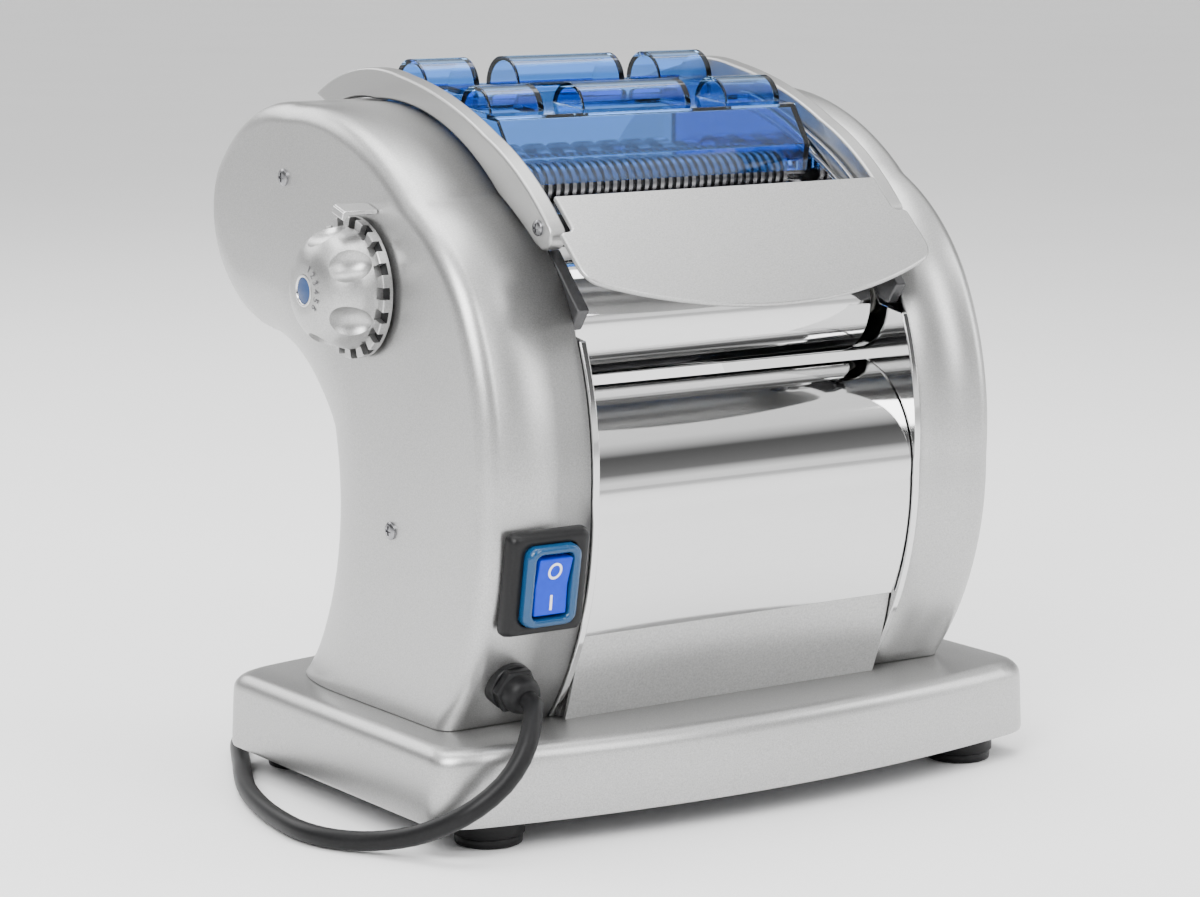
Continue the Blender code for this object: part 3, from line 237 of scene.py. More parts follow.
def apply_modifiers(thing):
    graph = bpy.context.evaluated_depsgraph_get()
    data = bpy.data.meshes.new_from_object(thing.evaluated_get(graph))
    thing.modifiers.clear()
    thing.data = data
    smooth_faces(data, SHARP_ABOVE)


def carve(thing, tool, operation="DIFFERENCE"):
    """A Boolean with a mesh that is removed afterwards."""
    helper = new_object("helper", tool)
    cut = thing.modifiers.new("carve", "BOOLEAN")
    cut.object = helper
    cut.operation = operation
    cut.solver = "EXACT"
    apply_modifiers(thing)
    bpy.data.objects.remove(helper, do_unlink=True)


def soften(thing, width):
    bevel = thing.modifiers.new("soft_edges", "BEVEL")
    bevel.width = width * MM
    bevel.segments = 3
    bevel.limit_method = "ANGLE"
    bevel.angle_limit = math.radians(32)
    bevel.harden_normals = True
    bevel.use_clamp_overlap = True


def piece(name, shape, body, slot, stands_for=(), edge=0.0, sharp_above=SHARP_ABOVE):
    thing = new_object(name, shape, sharp_above) if isinstance(shape, bmesh.types.BMesh) else shape
    thing.data.materials.clear()
    thing.data.materials.append(MATERIALS[slot])
    if edge:
        soften(thing, edge)
    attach(thing, body)
    for node in stands_for:
        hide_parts(node)
    return thing


# Camera

def make_camera():
    """The photograph's view: a long lens, to the machine's left front and a little above it."""
    azimuth, elevation, distance = math.radians(-34.3), math.radians(9.25), 1.480
    target = place(-19.7, -5.9, 138.2)
    level = math.cos(elevation)
    away = Vector((math.sin(azimuth) * level, -math.cos(azimuth) * level, math.sin(elevation)))
    lens = bpy.data.cameras.new("camera")
    lens.lens = 105.9
    lens.sensor_width = 36
    lens.clip_start = 0.05
    camera = bpy.data.objects.new("camera", lens)
    camera.location = target + away * distance
    camera.rotation_euler = (-away).to_track_quat("-Z", "Y").to_euler()
    bpy.context.scene.collection.objects.link(camera)
    bpy.context.scene.camera = camera


# Materials

def new_material(name):
    made = bpy.data.materials.new(name)
    made.use_nodes = True
    shader = made.node_tree.nodes["Principled BSDF"]
    return made, made.node_tree, shader


def noise(tree, scale, stretch=(1, 1, 1), detail=4):
    coordinates = tree.nodes.new("ShaderNodeTexCoord")
    mapping = tree.nodes.new("ShaderNodeMapping")
    mapping.inputs["Scale"].default_value = stretch
    texture = tree.nodes.new("ShaderNodeTexNoise")
    texture.inputs["Scale"].default_value = scale
    texture.inputs["Detail"].default_value = detail
    tree.links.new(coordinates.outputs["Object"], mapping.inputs["Vector"])
    tree.links.new(mapping.outputs["Vector"], texture.inputs["Vector"])
    return texture.outputs["Fac"]


def ramp(tree, source, low, high):
    mapped = tree.nodes.new("ShaderNodeMapRange")
    mapped.inputs["From Min"].default_value = 0.3
    mapped.inputs["From Max"].default_value = 0.7
    mapped.inputs["To Min"].default_value = low
    mapped.inputs["To Max"].default_value = high
    tree.links.new(source, mapped.inputs["Value"])
    return mapped.outputs["Result"]


def tinted(tree, source, dark, light):
    colours = tree.nodes.new("ShaderNodeValToRGB")
    colours.color_ramp.elements[0].position = 0.3
    colours.color_ramp.elements[0].color = (*dark, 1)
    colours.color_ramp.elements[1].position = 0.7
    colours.color_ramp.elements[1].color = (*light, 1)
    tree.links.new(source, colours.inputs["Fac"])
    return colours.outputs["Color"]


def bumped(tree, shader, source, strength, depth):
    bump = tree.nodes.new("ShaderNodeBump")
    bump.inputs["Strength"].default_value = strength
    bump.inputs["Distance"].default_value = depth * MM
    tree.links.new(source, bump.inputs["Height"])
    tree.links.new(bump.outputs["Normal"], shader.inputs["Normal"])


def surface(name, colour, metallic, roughness, grain, bump=(0.1, 0.05), spread=0.04, stretch=(1, 1, 1), coat=0.0):
    """A material whose colour, gloss and height all vary with one grain of the given scale."""
    made, tree, shader = new_material(name)
    if not metallic:
        shader.inputs["Specular IOR Level"].default_value = 0.2
    fine = noise(tree, grain, stretch)
    broad = noise(tree, 14, stretch, 3)
    dark = tuple(c * (1 - spread) for c in colour)
    light = tuple(min(c * (1 + spread), 1) for c in colour)
    tree.links.new(tinted(tree, fine, dark, light), shader.inputs["Base Color"])
    tree.links.new(ramp(tree, broad, roughness * 0.92, roughness * 1.08), shader.inputs["Roughness"])
    shader.inputs["Metallic"].default_value = metallic
    shader.inputs["Coat Weight"].default_value = coat
    bumped(tree, shader, fine, *bump)
    return made


def clear_plastic(name, colour, roughness, transmission):
    made, tree, shader = new_material(name)
    shader.inputs["Base Color"].default_value = (*colour, 1)
    shader.inputs["Transmission Weight"].default_value = transmission
    shader.inputs["IOR"].default_value = 1.45
    tree.links.new(ramp(tree, noise(tree, 30), roughness * 0.7, roughness * 1.3), shader.inputs["Roughness"])
    bumped(tree, shader, noise(tree, 60), 0.05, 0.05)
    return made


def make_materials():
    return {
        "silver_paint": surface("silver_paint", (0.42, 0.42, 0.417), 0.9, 0.34, 1900, (0.20, 0.05), 0.17),
        "speckled_silver": surface("speckled_silver", (0.42, 0.42, 0.417), 0.9, 0.34, 1300, (0.32, 0.10), 0.16),
        "rim_metal": surface("rim_metal", (0.39, 0.39, 0.387), 0.9, 0.36, 2100, (0.14, 0.05), 0.08),
        "chrome": surface("chrome", (0.66, 0.66, 0.66), 1.0, 0.07, 500, (0.015, 0.02), 0.01, (0.2, 1, 1)),
        # satin_steel's dark base colour is partly the steel's own satin tone and partly painted shade for the cutters
        # under the guard; the screws and tray ears share it
        "satin_steel": surface("satin_steel", (0.26, 0.26, 0.27), 1.0, 0.24, 900, (0.06, 0.03), 0.05, (0.1, 1, 1)),
        "gear_steel": surface("gear_steel", (0.42, 0.42, 0.43), 1.0, 0.36, 700, (0.1, 0.03), 0.08),
        "black_rubber": surface("black_rubber", (0.006, 0.006, 0.0065), 0, 0.42, 700, (0.15, 0.05), 0.2),
        "black_plastic": surface("black_plastic", (0.008, 0.008, 0.0085), 0, 0.34, 1200, (0.12, 0.04), 0.15),
        "dark_gloss": surface("dark_gloss", (0.06, 0.06, 0.062), 0.5, 0.16, 900, (0.05, 0.02), 0.1),
        "clear_blue": clear_plastic("clear_blue", (0.28, 0.56, 1.0), 0.05, 1.0),
        "switch_blue": clear_plastic("switch_blue", (0.012, 0.10, 0.26), 0.16, 0.5),
        "rocker_blue": surface("rocker_blue", (0.004, 0.035, 0.50), 0, 0.2, 300, (0.02, 0.02), 0.05),
        "white_gear": surface("white_gear", (0.78, 0.77, 0.72), 0, 0.45, 500, (0.05, 0.03), 0.03),
        "motor_grey": surface("motor_grey", (0.22, 0.22, 0.23), 0.5, 0.42, 600, (0.1, 0.04), 0.08),
        "cap_blue": surface("cap_blue", (0.03, 0.06, 0.15), 0, 0.2, 400, (0.02, 0.02), 0.05),
        "white_print": surface("white_print", (0.82, 0.82, 0.82), 0, 0.4, 500, (0.02, 0.01), 0.02),
        "dark_print": surface("dark_print", (0.10, 0.10, 0.105), 0.2, 0.5, 500, (0.02, 0.01), 0.05),
    }


# Housings, rims and side plates

def rounding_at(index, count):
    """How far the edge's rounding reaches in from the outline, and how deep it is."""
    stages = [(0, 8, 8), (0.42, 9, 9), (0.58, 14, 11), (0.72, 22, 12), (0.86, 34, 14), (1, 50, 19)]
    along = index / (count - 1)
    for (start, reach, depth), (end, next_reach, next_depth) in zip(stages, stages[1:]):
        if along <= end:
            part = (along - start) / (end - start)
            return reach + (next_reach - reach) * part, depth + (next_depth - depth) * part


def housing_shell(side, face):
    outline = path_of_arcs(FRONT_ARCS + [BROW_ARC] + CROWN_ARCS + HEAD_ARCS + BACK_ARCS, 16)
    floor = BASE_TOP + 0.3
    inwards = [(a - p, b - q) for (a, b), (p, q) in zip(offset_path(outline, -1), outline)]
    inwards[0], inwards[-1] = (1, 0), (-1, 0)
    rings = []
    for angle in [None] + [90 * i / 9 for i in range(10)]:
        ring = []
        for i, ((a, b), (ia, ib)) in enumerate(zip(outline, inwards)):
            reach, depth = rounding_at(i, len(outline))
            x, moved = HOUSING_INNER, 0
            if angle is not None:
                x = face - depth * (1 - math.sin(math.radians(angle)))
                moved = reach * (1 - math.cos(math.radians(angle)))
            lowest = floor + 0.4 * max(b - floor, 0)
            ring.append(place(side * x, a + ia * moved, max(b + ib * moved, lowest)))
        rings.append(ring)
    return loft(rings, (False, True))


def thicken(thing, thickness):
    wall = thing.modifiers.new("wall", "SOLIDIFY")
    wall.thickness = thickness * MM
    wall.offset = -1


def make_housings():
    for name, side, face in (("motor_housing", -1, HOUSING_FACE), ("right_cover", 1, COVER_FACE)):
        shell = piece(f"{name}_shell", housing_shell(side, face), "machine", "silver_paint", [name], sharp_above=50)
        thicken(shell, 2)


def make_side_plates():
    front = [p for p in offset_path(path_of_arcs(FRONT_ARCS, 20), 1.2) if p[1] < 199]
    notch = [(-68, 199), (-54.5, 224)]
    crown = offset_path(path_of_arcs([((-48, 240.5), (-41, 245.8), (-34, 250.2))] + CROWN_ARCS, 18), -0.1)
    back = offset_path(path_of_arcs(HEAD_ARCS + BACK_ARCS, 14), -3)
    outline = [(a, max(b, BASE_TOP + 0.3)) for a, b in front + notch + crown + back]
    for name, side in (("left", -1), ("right", 1)):
        low, high = sorted((side * PLATE_INNER, side * PLATE_OUTER))
        piece(f"{name}_plate", prism(outline, low, high), "machine", "chrome", [f"{name}_side_plate"], 0.5)


def make_rims():
    top = path_of_arcs(RIM_TOP_ARCS, 20)
    end = path_of_arcs([((-71, 240.5), (-71.5, 233.5), (-63, 232.2))], 10)
    seam = offset_path(path_of_arcs([((-61, 232.3), (-47, 242.3), (-34, 250.2))] + CROWN_ARCS, 18), 0.6)
    outline = top[:-1] + end + [point for point in seam if point[0] < 100]
    guide = offset_path(path_of_arcs(RIM_TOP_ARCS[1:], 18), 9)
    for name, side in (("left", -1), ("right", 1)):
        low, high = sorted((side * RIM_INNER, side * RIM_OUTER))
        piece(f"{name}_rim_casting", prism(outline, low, high), "machine", "rim_metal", [f"{name}_rim"], 1.3)
        for number, depth in enumerate((0, 6.5), 1):
            rib = strip(offset_path(guide, depth)[3:-6], 1.6)
            low, high = sorted((side * 77.7, side * 79.4))
            piece(f"{name}_guide_rib_{number}", prism(rib, low, high), "machine", "gear_steel", (), 0.3)


# Base

def base_outline(inset, steps=56):
    radius, half = 594 - inset, 150 - inset
    front, rear = [], []
    for i in range(steps + 1):
        x = -half + 2 * half * i / steps
        y = 107 - 594 + math.sqrt(radius * radius - x * x)
        front.append((x, -y))
        rear.append((-x, y))
    return front + rear


def rounded_base(inset, corner):
    """The bowed plan with its four corners rounded."""
    outline = base_outline(inset)
    count = len(outline)
    half = count // 2
    kept = []
    for start in (0, half):
        side = outline[start:start + half]
        inner = [p for p in side if abs(p[0]) < 150 - inset - corner]
        sign = -1 if start == 0 else 1
        y_end = abs(side[0][1])
        first = sign * (150 - inset)
        near, far = inner[0], inner[-1]
        kept += arc_corner((first, sign * (y_end - corner * 0.9)), (first, sign * y_end), near)
        kept += inner
        kept += arc_corner(far, (-first, sign * y_end), (-first, sign * (y_end - corner * 0.9)))
    return kept


def arc_corner(start, corner, end, steps=8):
    """A smooth turn from start to end with the square corner as its control point."""
    points = []
    for i in range(steps + 1):
        t = i / steps
        points.append(tuple((1 - t) ** 2 * a + 2 * t * (1 - t) * c + t * t * b for a, c, b in zip(start, corner, end)))
    return points


def make_base():
    rings = []
    for inset, z in [(2.2, 13), (2.2, 11), (0.4, 11), (0, 12.5), (0.6, 30)]:
        rings.append((inset, z))
    for i in range(7):
        angle = math.radians(90 * i / 6)
        rings.append((0.8 + 7 * (1 - math.cos(angle)), BASE_TOP - 7 + 7 * math.sin(angle)))
    shape = loft([[place(a, b, z) for a, b in rounded_base(inset, 12)] for inset, z in rings], (False, True))
    piece("base_casting", shape, "machine", "silver_paint", ["base_shell"], sharp_above=40)
    for side_name, x in (("left", -120), ("right", 120)):
        for depth_name, y in (("front", -75), ("rear", 75)):
            matrix = Matrix.Translation(place(x, y, 0))
            foot = spun([(12.2, 0), (13.4, 0.6), (13.6, 3.2), (13.2, 3.8), (14.4, 4.6), (14.5, 11.2), (13, 11.7)], matrix)
            name = f"foot_{depth_name}_{side_name}"
            piece(f"{name}_rubber", foot, "machine", "black_rubber", [name], sharp_above=60)


# Deck, panels and the wheat ear on the deck

DECK_ARCS = [((-60, 173.5), (-80.5, 160), (-89.5, 128.5)), ((-89.5, 128.5), (-87, 103), (-79, 78.5))]


def make_panels():
    half = PLATE_INNER - 0.5
    for name, node, arcs, thickness, slot in (
        ("deck_sheet", "chute_deck", DECK_ARCS, 1.5, "chrome"),
        ("front_panel_sheet", "front_panel", [((-77.2, 82), (-72, 61), (-65.5, 42.5))], 2, "speckled_silver"),
        ("rear_panel_sheet", "rear_panel", [((62, 43), (42, 90), (34, 148))], 1.5, "silver_paint"),
    ):
        piece(name, prism(strip(path_of_arcs(arcs, 28), thickness), -half, half), "machine", slot, [node], 0.4)
    flange = [(-76.3, 77), (-70.3, 60), (-63.8, 42.6), (-52, 42.6), (-58, 60), (-66, 77)]
    for name, side in (("left", -1), ("right", 1)):
        low, high = sorted((side * (half - 1.2), side * (half + 0.2)))
        piece(f"front_panel_flange_{name}", prism(flange, low, high), "machine", "speckled_silver")
    bracket = [(-54.6, 228.6), (-61.4, 230.4), (-82.5, 208.2), (-76.5, 199.8), (-70.2, 201.6)]
    for name, side in (("left", -1), ("right", 1)):
        low, high = sorted((side * 76.5, side * (PLATE_OUTER + 0.2)))
        node = f"{name}_front_bracket"
        piece(f"{node}_moulding", prism(bracket, low, high), "machine", "dark_gloss", [node], 0.9)


def on_deck(x, up):
    """A point on the deck's upper arc, up mm along it from its lower end, and the outward direction there."""
    path = path_of_arcs(DECK_ARCS[:1], 60)[::-1]
    travelled = 0
    for (a, b), (c, d) in zip(path, path[1:]):
        step = math.hypot(c - a, d - b)
        if travelled + step >= up:
            along = Vector((0, c - a, d - b)).normalized()
            return place(x, a, b), along, Vector((0, -along.z, along.y))
        travelled += step


def make_wheat_ear():
    """A plain ear of wheat on the deck's path. The sheet is thicker than its relief, so it doesn't show."""
    grains = []
    for number in range(9):
        for side in (-1, 1):
            middle, along, outwards = on_deck(-8 + number * 5.2, 24 + side * 3.6)
            lean = math.radians(28 * side)
            length = Vector((math.cos(lean), 0, 0)) + along * math.sin(lean)
            across = outwards.cross(length).normalized()
            turn = Matrix((length, across, outwards)).transposed().to_4x4()
            grain = bmesh.new()
            bmesh.ops.create_uvsphere(grain, u_segments=20, v_segments=10, radius=MM)
            bmesh.ops.scale(grain, verts=grain.verts, vec=(4.6, 1.9, 1.1))
            bmesh.ops.transform(grain, matrix=Matrix.Translation(middle) @ turn, verts=grain.verts)
            grains.append(grain)
    for number in range(24):
        middle, along, outwards = on_deck(-26 + number * 2.6, 24)
        turn = Matrix((Vector((1, 0, 0)), outwards.cross(Vector((1, 0, 0))), outwards)).transposed().to_4x4()
        stem = bmesh.new()
        bmesh.ops.create_uvsphere(stem, u_segments=12, v_segments=6, radius=MM)
        bmesh.ops.scale(stem, verts=stem.verts, vec=(2.0, 0.8, 0.7))
        bmesh.ops.transform(stem, matrix=Matrix.Translation(middle) @ turn, verts=stem.verts)
        grains.append(stem)
    piece("deck_wheat_ear", merged(*grains), "machine", "chrome", sharp_above=80)


# Rollers and cutters

def make_rollers():
    half, round_off = ROLLER_HALF, 1.2
    edge = [(half - round_off * (1 - math.sin(a)), ROLLER_RADIUS - round_off * (1 - math.cos(a)))
            for a in (math.pi / 2 * i / 4 for i in range(5))]
    barrel = [(-x, r) for x, r in edge[::-1]] + edge
    front = [(-92, 0), (-92, 7), (-half, 7)] + barrel + [(half, 7), (99, 7), (99, 0)]
    piece("front_roller_barrel", turned(front, FRONT_AXIS, 128), "front_roller", "chrome", ["front_roller"])
    rear = [(-65.5, 0), (-65.5, 11.8), (-half, 11.8)] + barrel + [(half, 7), (91, 7), (91, 0)]
    piece("rear_roller_barrel", turned(rear, REAR_AXIS, 128), "rear_roller", "chrome", ["rear_roller"])


def grooved_profile(pitch, groove, depth):
    profile = [(-81.5, 0), (-81.5, 4), (-CUTTER_HALF, 4)]
    count = int(2 * CUTTER_HALF / pitch)
    start = -count * pitch / 2
    for number in range(count):
        x = start + number * pitch
        for along, radius in ((0.1, CUTTER_RADIUS - depth), (0.2, CUTTER_RADIUS),
                              (pitch - groove, CUTTER_RADIUS), (pitch - groove + 0.1, CUTTER_RADIUS - depth)):
            profile.append((x + along, radius))
    return profile + [(CUTTER_HALF, 4), (106, 4), (106, 0)]


def make_cutters():
    for name, pitch in (("narrow_cutter", 4), ("wide_cutter", 13)):
        for end in ("front", "rear"):
            low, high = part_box(f"{name}_{end}")
            centre = ((low[1] + high[1]) / 2 - BASE_CENTRE.y, (low[2] + high[2]) / 2)
            centre = (centre[0] / MM, centre[1] / MM)
            profile = grooved_profile(pitch, pitch / 2, 2.2)
            node = f"{name}_{end}"
            # The grooved cutters take satin_steel, whose darkened colour holds painted shade for the space under the
            # guard
            piece(f"{node}_grooved", turned(profile, centre, 40), node, "satin_steel", [node], sharp_above=30)


# Feed tray and guard

def tray_outline():
    half, shoulder = 80, 86.5
    left = [(-half, 0), (-half, 17), (-half - 1.5, 18.4), (-shoulder + 1.5, 18.6), (-shoulder, 20),
            (-shoulder, 36)]
    left += arc_through((-shoulder, 36), (-85, 42), (-80, 46.5), 6)[1:-1]
    bottom = arc_through((-80, 46.5), (0, 63), (80, 46.5), 60)
    right = [(-a, b) for a, b in left[::-1]]
    return left + bottom + right


def make_tray():
    tilt = Matrix.Translation(place(0, *TRAY_TOP)) @ Matrix.Rotation(TRAY_TILT, 4, "X")
    rings = [[tilt @ Vector((a * MM, -b * MM, z * MM)) for a, b in tray_outline()] for z in (-2.4, 0)]
    tray = piece("feed_tray_plate", loft(rings), "feed_tray", "silver_paint", ["feed_tray"], 1.1)
    for name, side in (("left", -1), ("right", 1)):
        low, high = sorted((side * 75, side * 77.6))
        corners = ((-5, -6), (4, -7), (7, -2), (6, 4), (-2, 6), (-10, 0))
        ear = [(TRAY_PIVOT[0] + a, TRAY_PIVOT[1] + b) for a, b in corners]
        piece(f"tray_{name}_ear", prism(ear, low, high), "feed_tray", "satin_steel", (), 0.5)
    return tray


def half_tube(centre, radius, low, high, drop):
    y, z = centre
    points = [(y + radius * math.cos(math.pi * i / 28), z + radius * math.sin(math.pi * i / 28)) for i in range(29)]
    return prism(points + [(y - radius, z - drop), (y + radius, z - drop)], low, high)


def make_guard():
    """The clear cover: a box open below, with two rows of three hollow bumps."""
    half, wall = 75.6, 2
    outer = [(-22, 252), (-24.5, 263), (-13.5, 279.5), (72, 287.5), (86, 276), (86, 252)]
    inner = [(-20, 240), (-22.3, 262.8), (-12.3, 277.4), (71.3, 285.3), (84, 275), (84, 240)]
    spans = [(-73.5, -47), (-28, 27), (45, 73.5)]
    rows = ((6, 279.5, 11.5), (56, 287.3, 12.4))
    guard = new_object("guard_cover", prism(outer, -half, half))
    for y, z, radius in rows:
        for low, high in spans:
            carve(guard, half_tube((y, z), radius, low, high, 6), "UNION")
    carve(guard, box_mesh((-80, -17, 240), (80, 83, 256)))
    carve(guard, prism(inner, -half + wall, half - wall))
    for y, z, radius in rows:
        for low, high in spans:
            carve(guard, half_tube((y, z), radius - wall, low + wall, high - wall, 8))
    piece("guard_cover", guard, "guard", "clear_blue", ["guard"], 0.45)


# Knob

def knob_frame(radius, angle, x):
    """A place on the knob's front, facing outwards along -X, with local Y pointing away from the knob's axis."""
    up = Vector((0, -math.cos(angle), math.sin(angle)))
    outwards = Vector((-1, 0, 0))
    turn = Matrix((up.cross(outwards), up, outwards)).transposed().to_4x4()
    low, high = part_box("knob")
    centre = Vector((0, (low[1] + high[1]) / 2, (low[2] + high[2]) / 2))
    place_there = centre + up * radius * MM + Vector((BASE_CENTRE.x - x * MM, 0, 0))
    return Matrix.Translation(place_there) @ turn


def knob_axis():
    low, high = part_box("knob")
    return (((low[1] + high[1]) / 2 - BASE_CENTRE.y) / MM, (low[2] + high[2]) / 2 / MM)


def make_knob():
    axis = knob_axis()
    back, front = -KNOB_FLANGE_X, -KNOB_FLANGE_X - KNOB_DEPTH
    dome = arc_through((back - 8, 24.2), (back - 18, 20.6), (front + 1.2, 13.2), 12)
    profile = [(back, 0), (back, 28.2), (back - 0.4, 28.5), (back - 4.1, 28.5), (back - 4.5, 28.1),
               (back - 4.7, 24.8)]
    profile += dome + [(front + 0.3, 11), (front, 9), (front, 0)]
    knob = new_object("knob_casting", turned(profile, axis, 144))
    notches = 18
    places = [knob_frame(27.2, math.radians(360 / notches * i), KNOB_FLANGE_X + 2.6) for i in range(notches)]
    teeth = [box_mesh((-2.4, -3.4, -1), (2.4, 6, 2.9), spot) for spot in places]
    carve(knob, merged(*teeth))
    flutes = []
    for number in range(6):
        tool = bmesh.new()
        bmesh.ops.create_uvsphere(tool, u_segments=40, v_segments=24, radius=8.4 * MM)
        bmesh.ops.scale(tool, verts=tool.verts, vec=(0.95, 1.0, 1.55))
        matrix = knob_frame(25.4, math.radians(90 + 60 * number), KNOB_FLANGE_X + 18.5)
        bmesh.ops.transform(tool, matrix=matrix, verts=tool.verts)
        flutes.append(tool)
    carve(knob, merged(*flutes))
    carve(knob, turned([(front - 5, 0), (front - 5, 6.6), (front + 2, 6.6), (front + 2, 0)], axis, 64))
    piece("knob_casting", knob, "knob", "silver_paint", ["knob"], 0.5)
    ring = [(front + 1.6, 5.3), (front - 0.1, 5.3), (front - 0.35, 5.7), (front - 0.1, 6.5), (front + 1.6, 6.5)]
    piece("knob_cap_ring", turned(ring + ring[:1], axis, 64), "knob", "chrome", sharp_above=60)
    cap = [(front + 1.6, 0), (front + 1.6, 5.25), (front + 0.3, 5.25), (front - 0.05, 4.2), (front - 0.15, 0)]
    piece("knob_cap_disc", turned(cap, axis, 64), "knob", "cap_blue", ["knob_cap"], sharp_above=60)
    # A black ring just inside the flange's slots: painted shade, so that the slots read dark
    slot_shade_outline = [(back - 1.5, 22), (back - 1.5, 28.3), (back - 2, 28.3), (back - 2, 22)]
    piece("knob_slot_painted_shade_ring", turned(slot_shade_outline + slot_shade_outline[:1], axis, 96), "knob", "black_plastic", sharp_above=30)
    shadow = [(back + 0.3, 0), (back + 0.3, 24), (back + 1.4, 24), (back + 1.4, 0)]
    piece("knob_shadow_disc", turned(shadow, axis, 64), "knob", "black_plastic")
    for number in range(1, 7):
        letters = bpy.data.curves.new(f"dial_number_{number}", "FONT")
        letters.body = str(number)
        letters.size = 4.4 * MM
        letters.extrude = 0.12 * MM
        letters.align_x = "CENTER"
        letters.align_y = "CENTER"
        digit = bpy.data.objects.new(f"dial_number_{number}", letters)
        bpy.context.scene.collection.objects.link(digit)
        angle = math.radians(63 - 20 * (number - 1))
        digit.matrix_world = knob_frame(9.9, angle, -front - 0.05)
        piece(f"dial_number_{number}", digit, "knob", "dark_print")
    clip = [(-147, 33.8), (-147.2, 31.2), (-145.6, 30.2), (-144.6, 31.6), (-144.4, 32.6), (-131.2, 32.6),
            (-131.2, 34.4), (-146, 34.6)]
    angle = math.radians(73)
    rings = []
    for side in (-4.2, 4.2):
        frame_there = knob_frame(0, angle, 0)
        rings.append([frame_there @ Vector((side * MM, r * MM, -x * MM)) for x, r in clip])
    piece("knob_spring_clip", loft(rings), "machine", "chrome", ["knob_latch"], 0.4)


# Screws

def cross_screw(name, matrix, radius, stands_for, body="machine"):
    """A raised cross-head screw whose local Z points out of the surface."""
    dome = [(radius, -0.9), (radius, 0.1), (radius * 0.85, 0.6), (radius * 0.5, 0.9), (radius * 0.05, 1.0)]
    head = new_object(name, spun(dome, matrix, 36))
    arm, wide = radius * 0.55, radius * 0.16
    for low, high in (((-arm, -wide, 0.2), (arm, wide, 2)), ((-wide, -arm, 0.2), (wide, arm, 2))):
        carve(head, box_mesh(low, high, matrix))
    piece(name, head, body, "satin_steel", stands_for)


def make_screws():
    facing_left = Matrix.Rotation(math.radians(-90), 4, "Y")
    facing_right = Matrix.Rotation(math.radians(90), 4, "Y")
    for node in ("housing_screw_upper", "housing_screw_lower"):
        low, high = (Vector(corner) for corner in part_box(node))
        middle = (low + high) / 2
        spot = Matrix.Translation((low.x + 0.9 * MM, middle.y, middle.z)) @ facing_left
        cross_screw(f"{node}_head", spot, 3.6, [node])
    for name, side, facing in (("left", -1, facing_left), ("right", 1, facing_right)):
        spot = Matrix.Translation(place(side * (RIM_OUTER + 0.6), *TRAY_PIVOT)) @ facing
        cross_screw(f"{name}_tray_screw_head", spot, 3.2, [f"{name}_tray_screw"])


# Switch and gland

def front_frame(x, z, off):
    """+X along the rollers, -Y out of the housing's front face, +Z up along it."""
    path = path_of_arcs(FRONT_ARCS, 40)
    i = min(range(1, len(path) - 1), key=lambda n: abs(path[n][1] - z))
    (ya, za), (yb, zb) = path[i - 1], path[i + 1]
    tilt = math.atan2(ya - yb, zb - za)
    out = Vector((0, -math.cos(tilt), -math.sin(tilt))) * off * MM
    return Matrix.Translation(place(x, path[i][0], z) + out) @ Matrix.Rotation(tilt, 4, "X")


def framed(matrix, sections):
    """Rounded rectangles (width, height, corner radius, y) lofted in a frame."""
    return loft([[matrix @ Vector((a * MM, y * MM, b * MM)) for a, b in rounded_rectangle(w, h, r)]
                 for w, h, r, y in sections])


def make_switch():
    matrix = front_frame(-105, 106, 1.9)
    bezel = [(37, 42, 3, 1.0), (37, 42, 3, -1.2), (35.4, 40.4, 3.2, -3.6), (33.6, 38.8, 3.4, -4.4), (26.6, 34.8, 4, -4.6),
             (25.2, 33.4, 4, -4.2), (25.2, 33.4, 4, 1.0)]
    piece("switch_bezel_frame", framed(matrix, bezel), "machine", "black_plastic", ["switch_bezel"], sharp_above=40)
    boot = [(24.4, 32.8, 4.5, 6), (24.4, 32.8, 4.5, -6.2), (23.8, 32.2, 4.6, -7.6), (22.4, 30.8, 4.6, -8.2),
            (18.8, 28.2, 3.4, -8.2), (17.4, 27, 3, -7.6), (16.6, 26.4, 2.2, -4), (16.6, 26.4, 2.2, 0)]
    piece("switch_boot_skin", framed(matrix, boot), "machine", "switch_blue", ["switch_boot"], sharp_above=50)
    side = [(-3, -11.8), (-7.2, -11.8), (-6.6, 0), (-8.8, 11.8), (-3, 11.8), (0.5, 0)]
    rings = [[matrix @ Vector((x * MM, a * MM, b * MM)) for a, b in side] for x in (-7.5, 7.5)]
    piece("switch_rocker_cap", loft(rings), "switch_rocker", "rocker_blue", ["switch_rocker"], 0.7)
    ring = bmesh.new()
    sections = []
    for i in range(40):
        a = 2 * math.pi * i / 40
        sections.append([matrix @ upper_face(Vector((r * math.cos(a), 0, 1.15 * r * math.sin(a))), lift)
                         for r, lift in ((2.2, 0.02), (2.2, 0.22), (3.1, 0.22), (3.1, 0.02))])
    made = [[ring.verts.new(point) for point in section] for section in sections]
    for first, second in zip(made, made[1:] + made[:1]):
        for i in range(4):
            ring.faces.new((first[i], first[(i + 1) % 4], second[(i + 1) % 4], second[i]))
    bmesh.ops.recalc_face_normals(ring, faces=ring.faces)
    piece("switch_mark_off", ring, "switch_rocker", "white_print")
    bar = [[matrix @ lower_face(Vector((x, 0, z)), lift) for x, z in ((-0.5, -3), (0.5, -3), (0.5, 3), (-0.5, 3))]
           for lift in (0.02, 0.22)]
    piece("switch_mark_on", loft(bar), "switch_rocker", "white_print")


def upper_face(point, lift):
    """A point on the rocker's upper face, from the face's own middle."""
    z = 6.6 + point.z
    return Vector((point.x, -6.6 - 2.2 * z / 11.8 - lift, z)) * MM


def lower_face(point, lift):
    z = -6.6 + point.z
    return Vector((point.x, -6.6 + 0.6 * z / 11.8 - lift, z)) * MM


GLAND = Matrix.Translation(front_frame(-110.3, 63, 2.5).translation) @ Matrix.Rotation(math.radians(105), 4, "X")


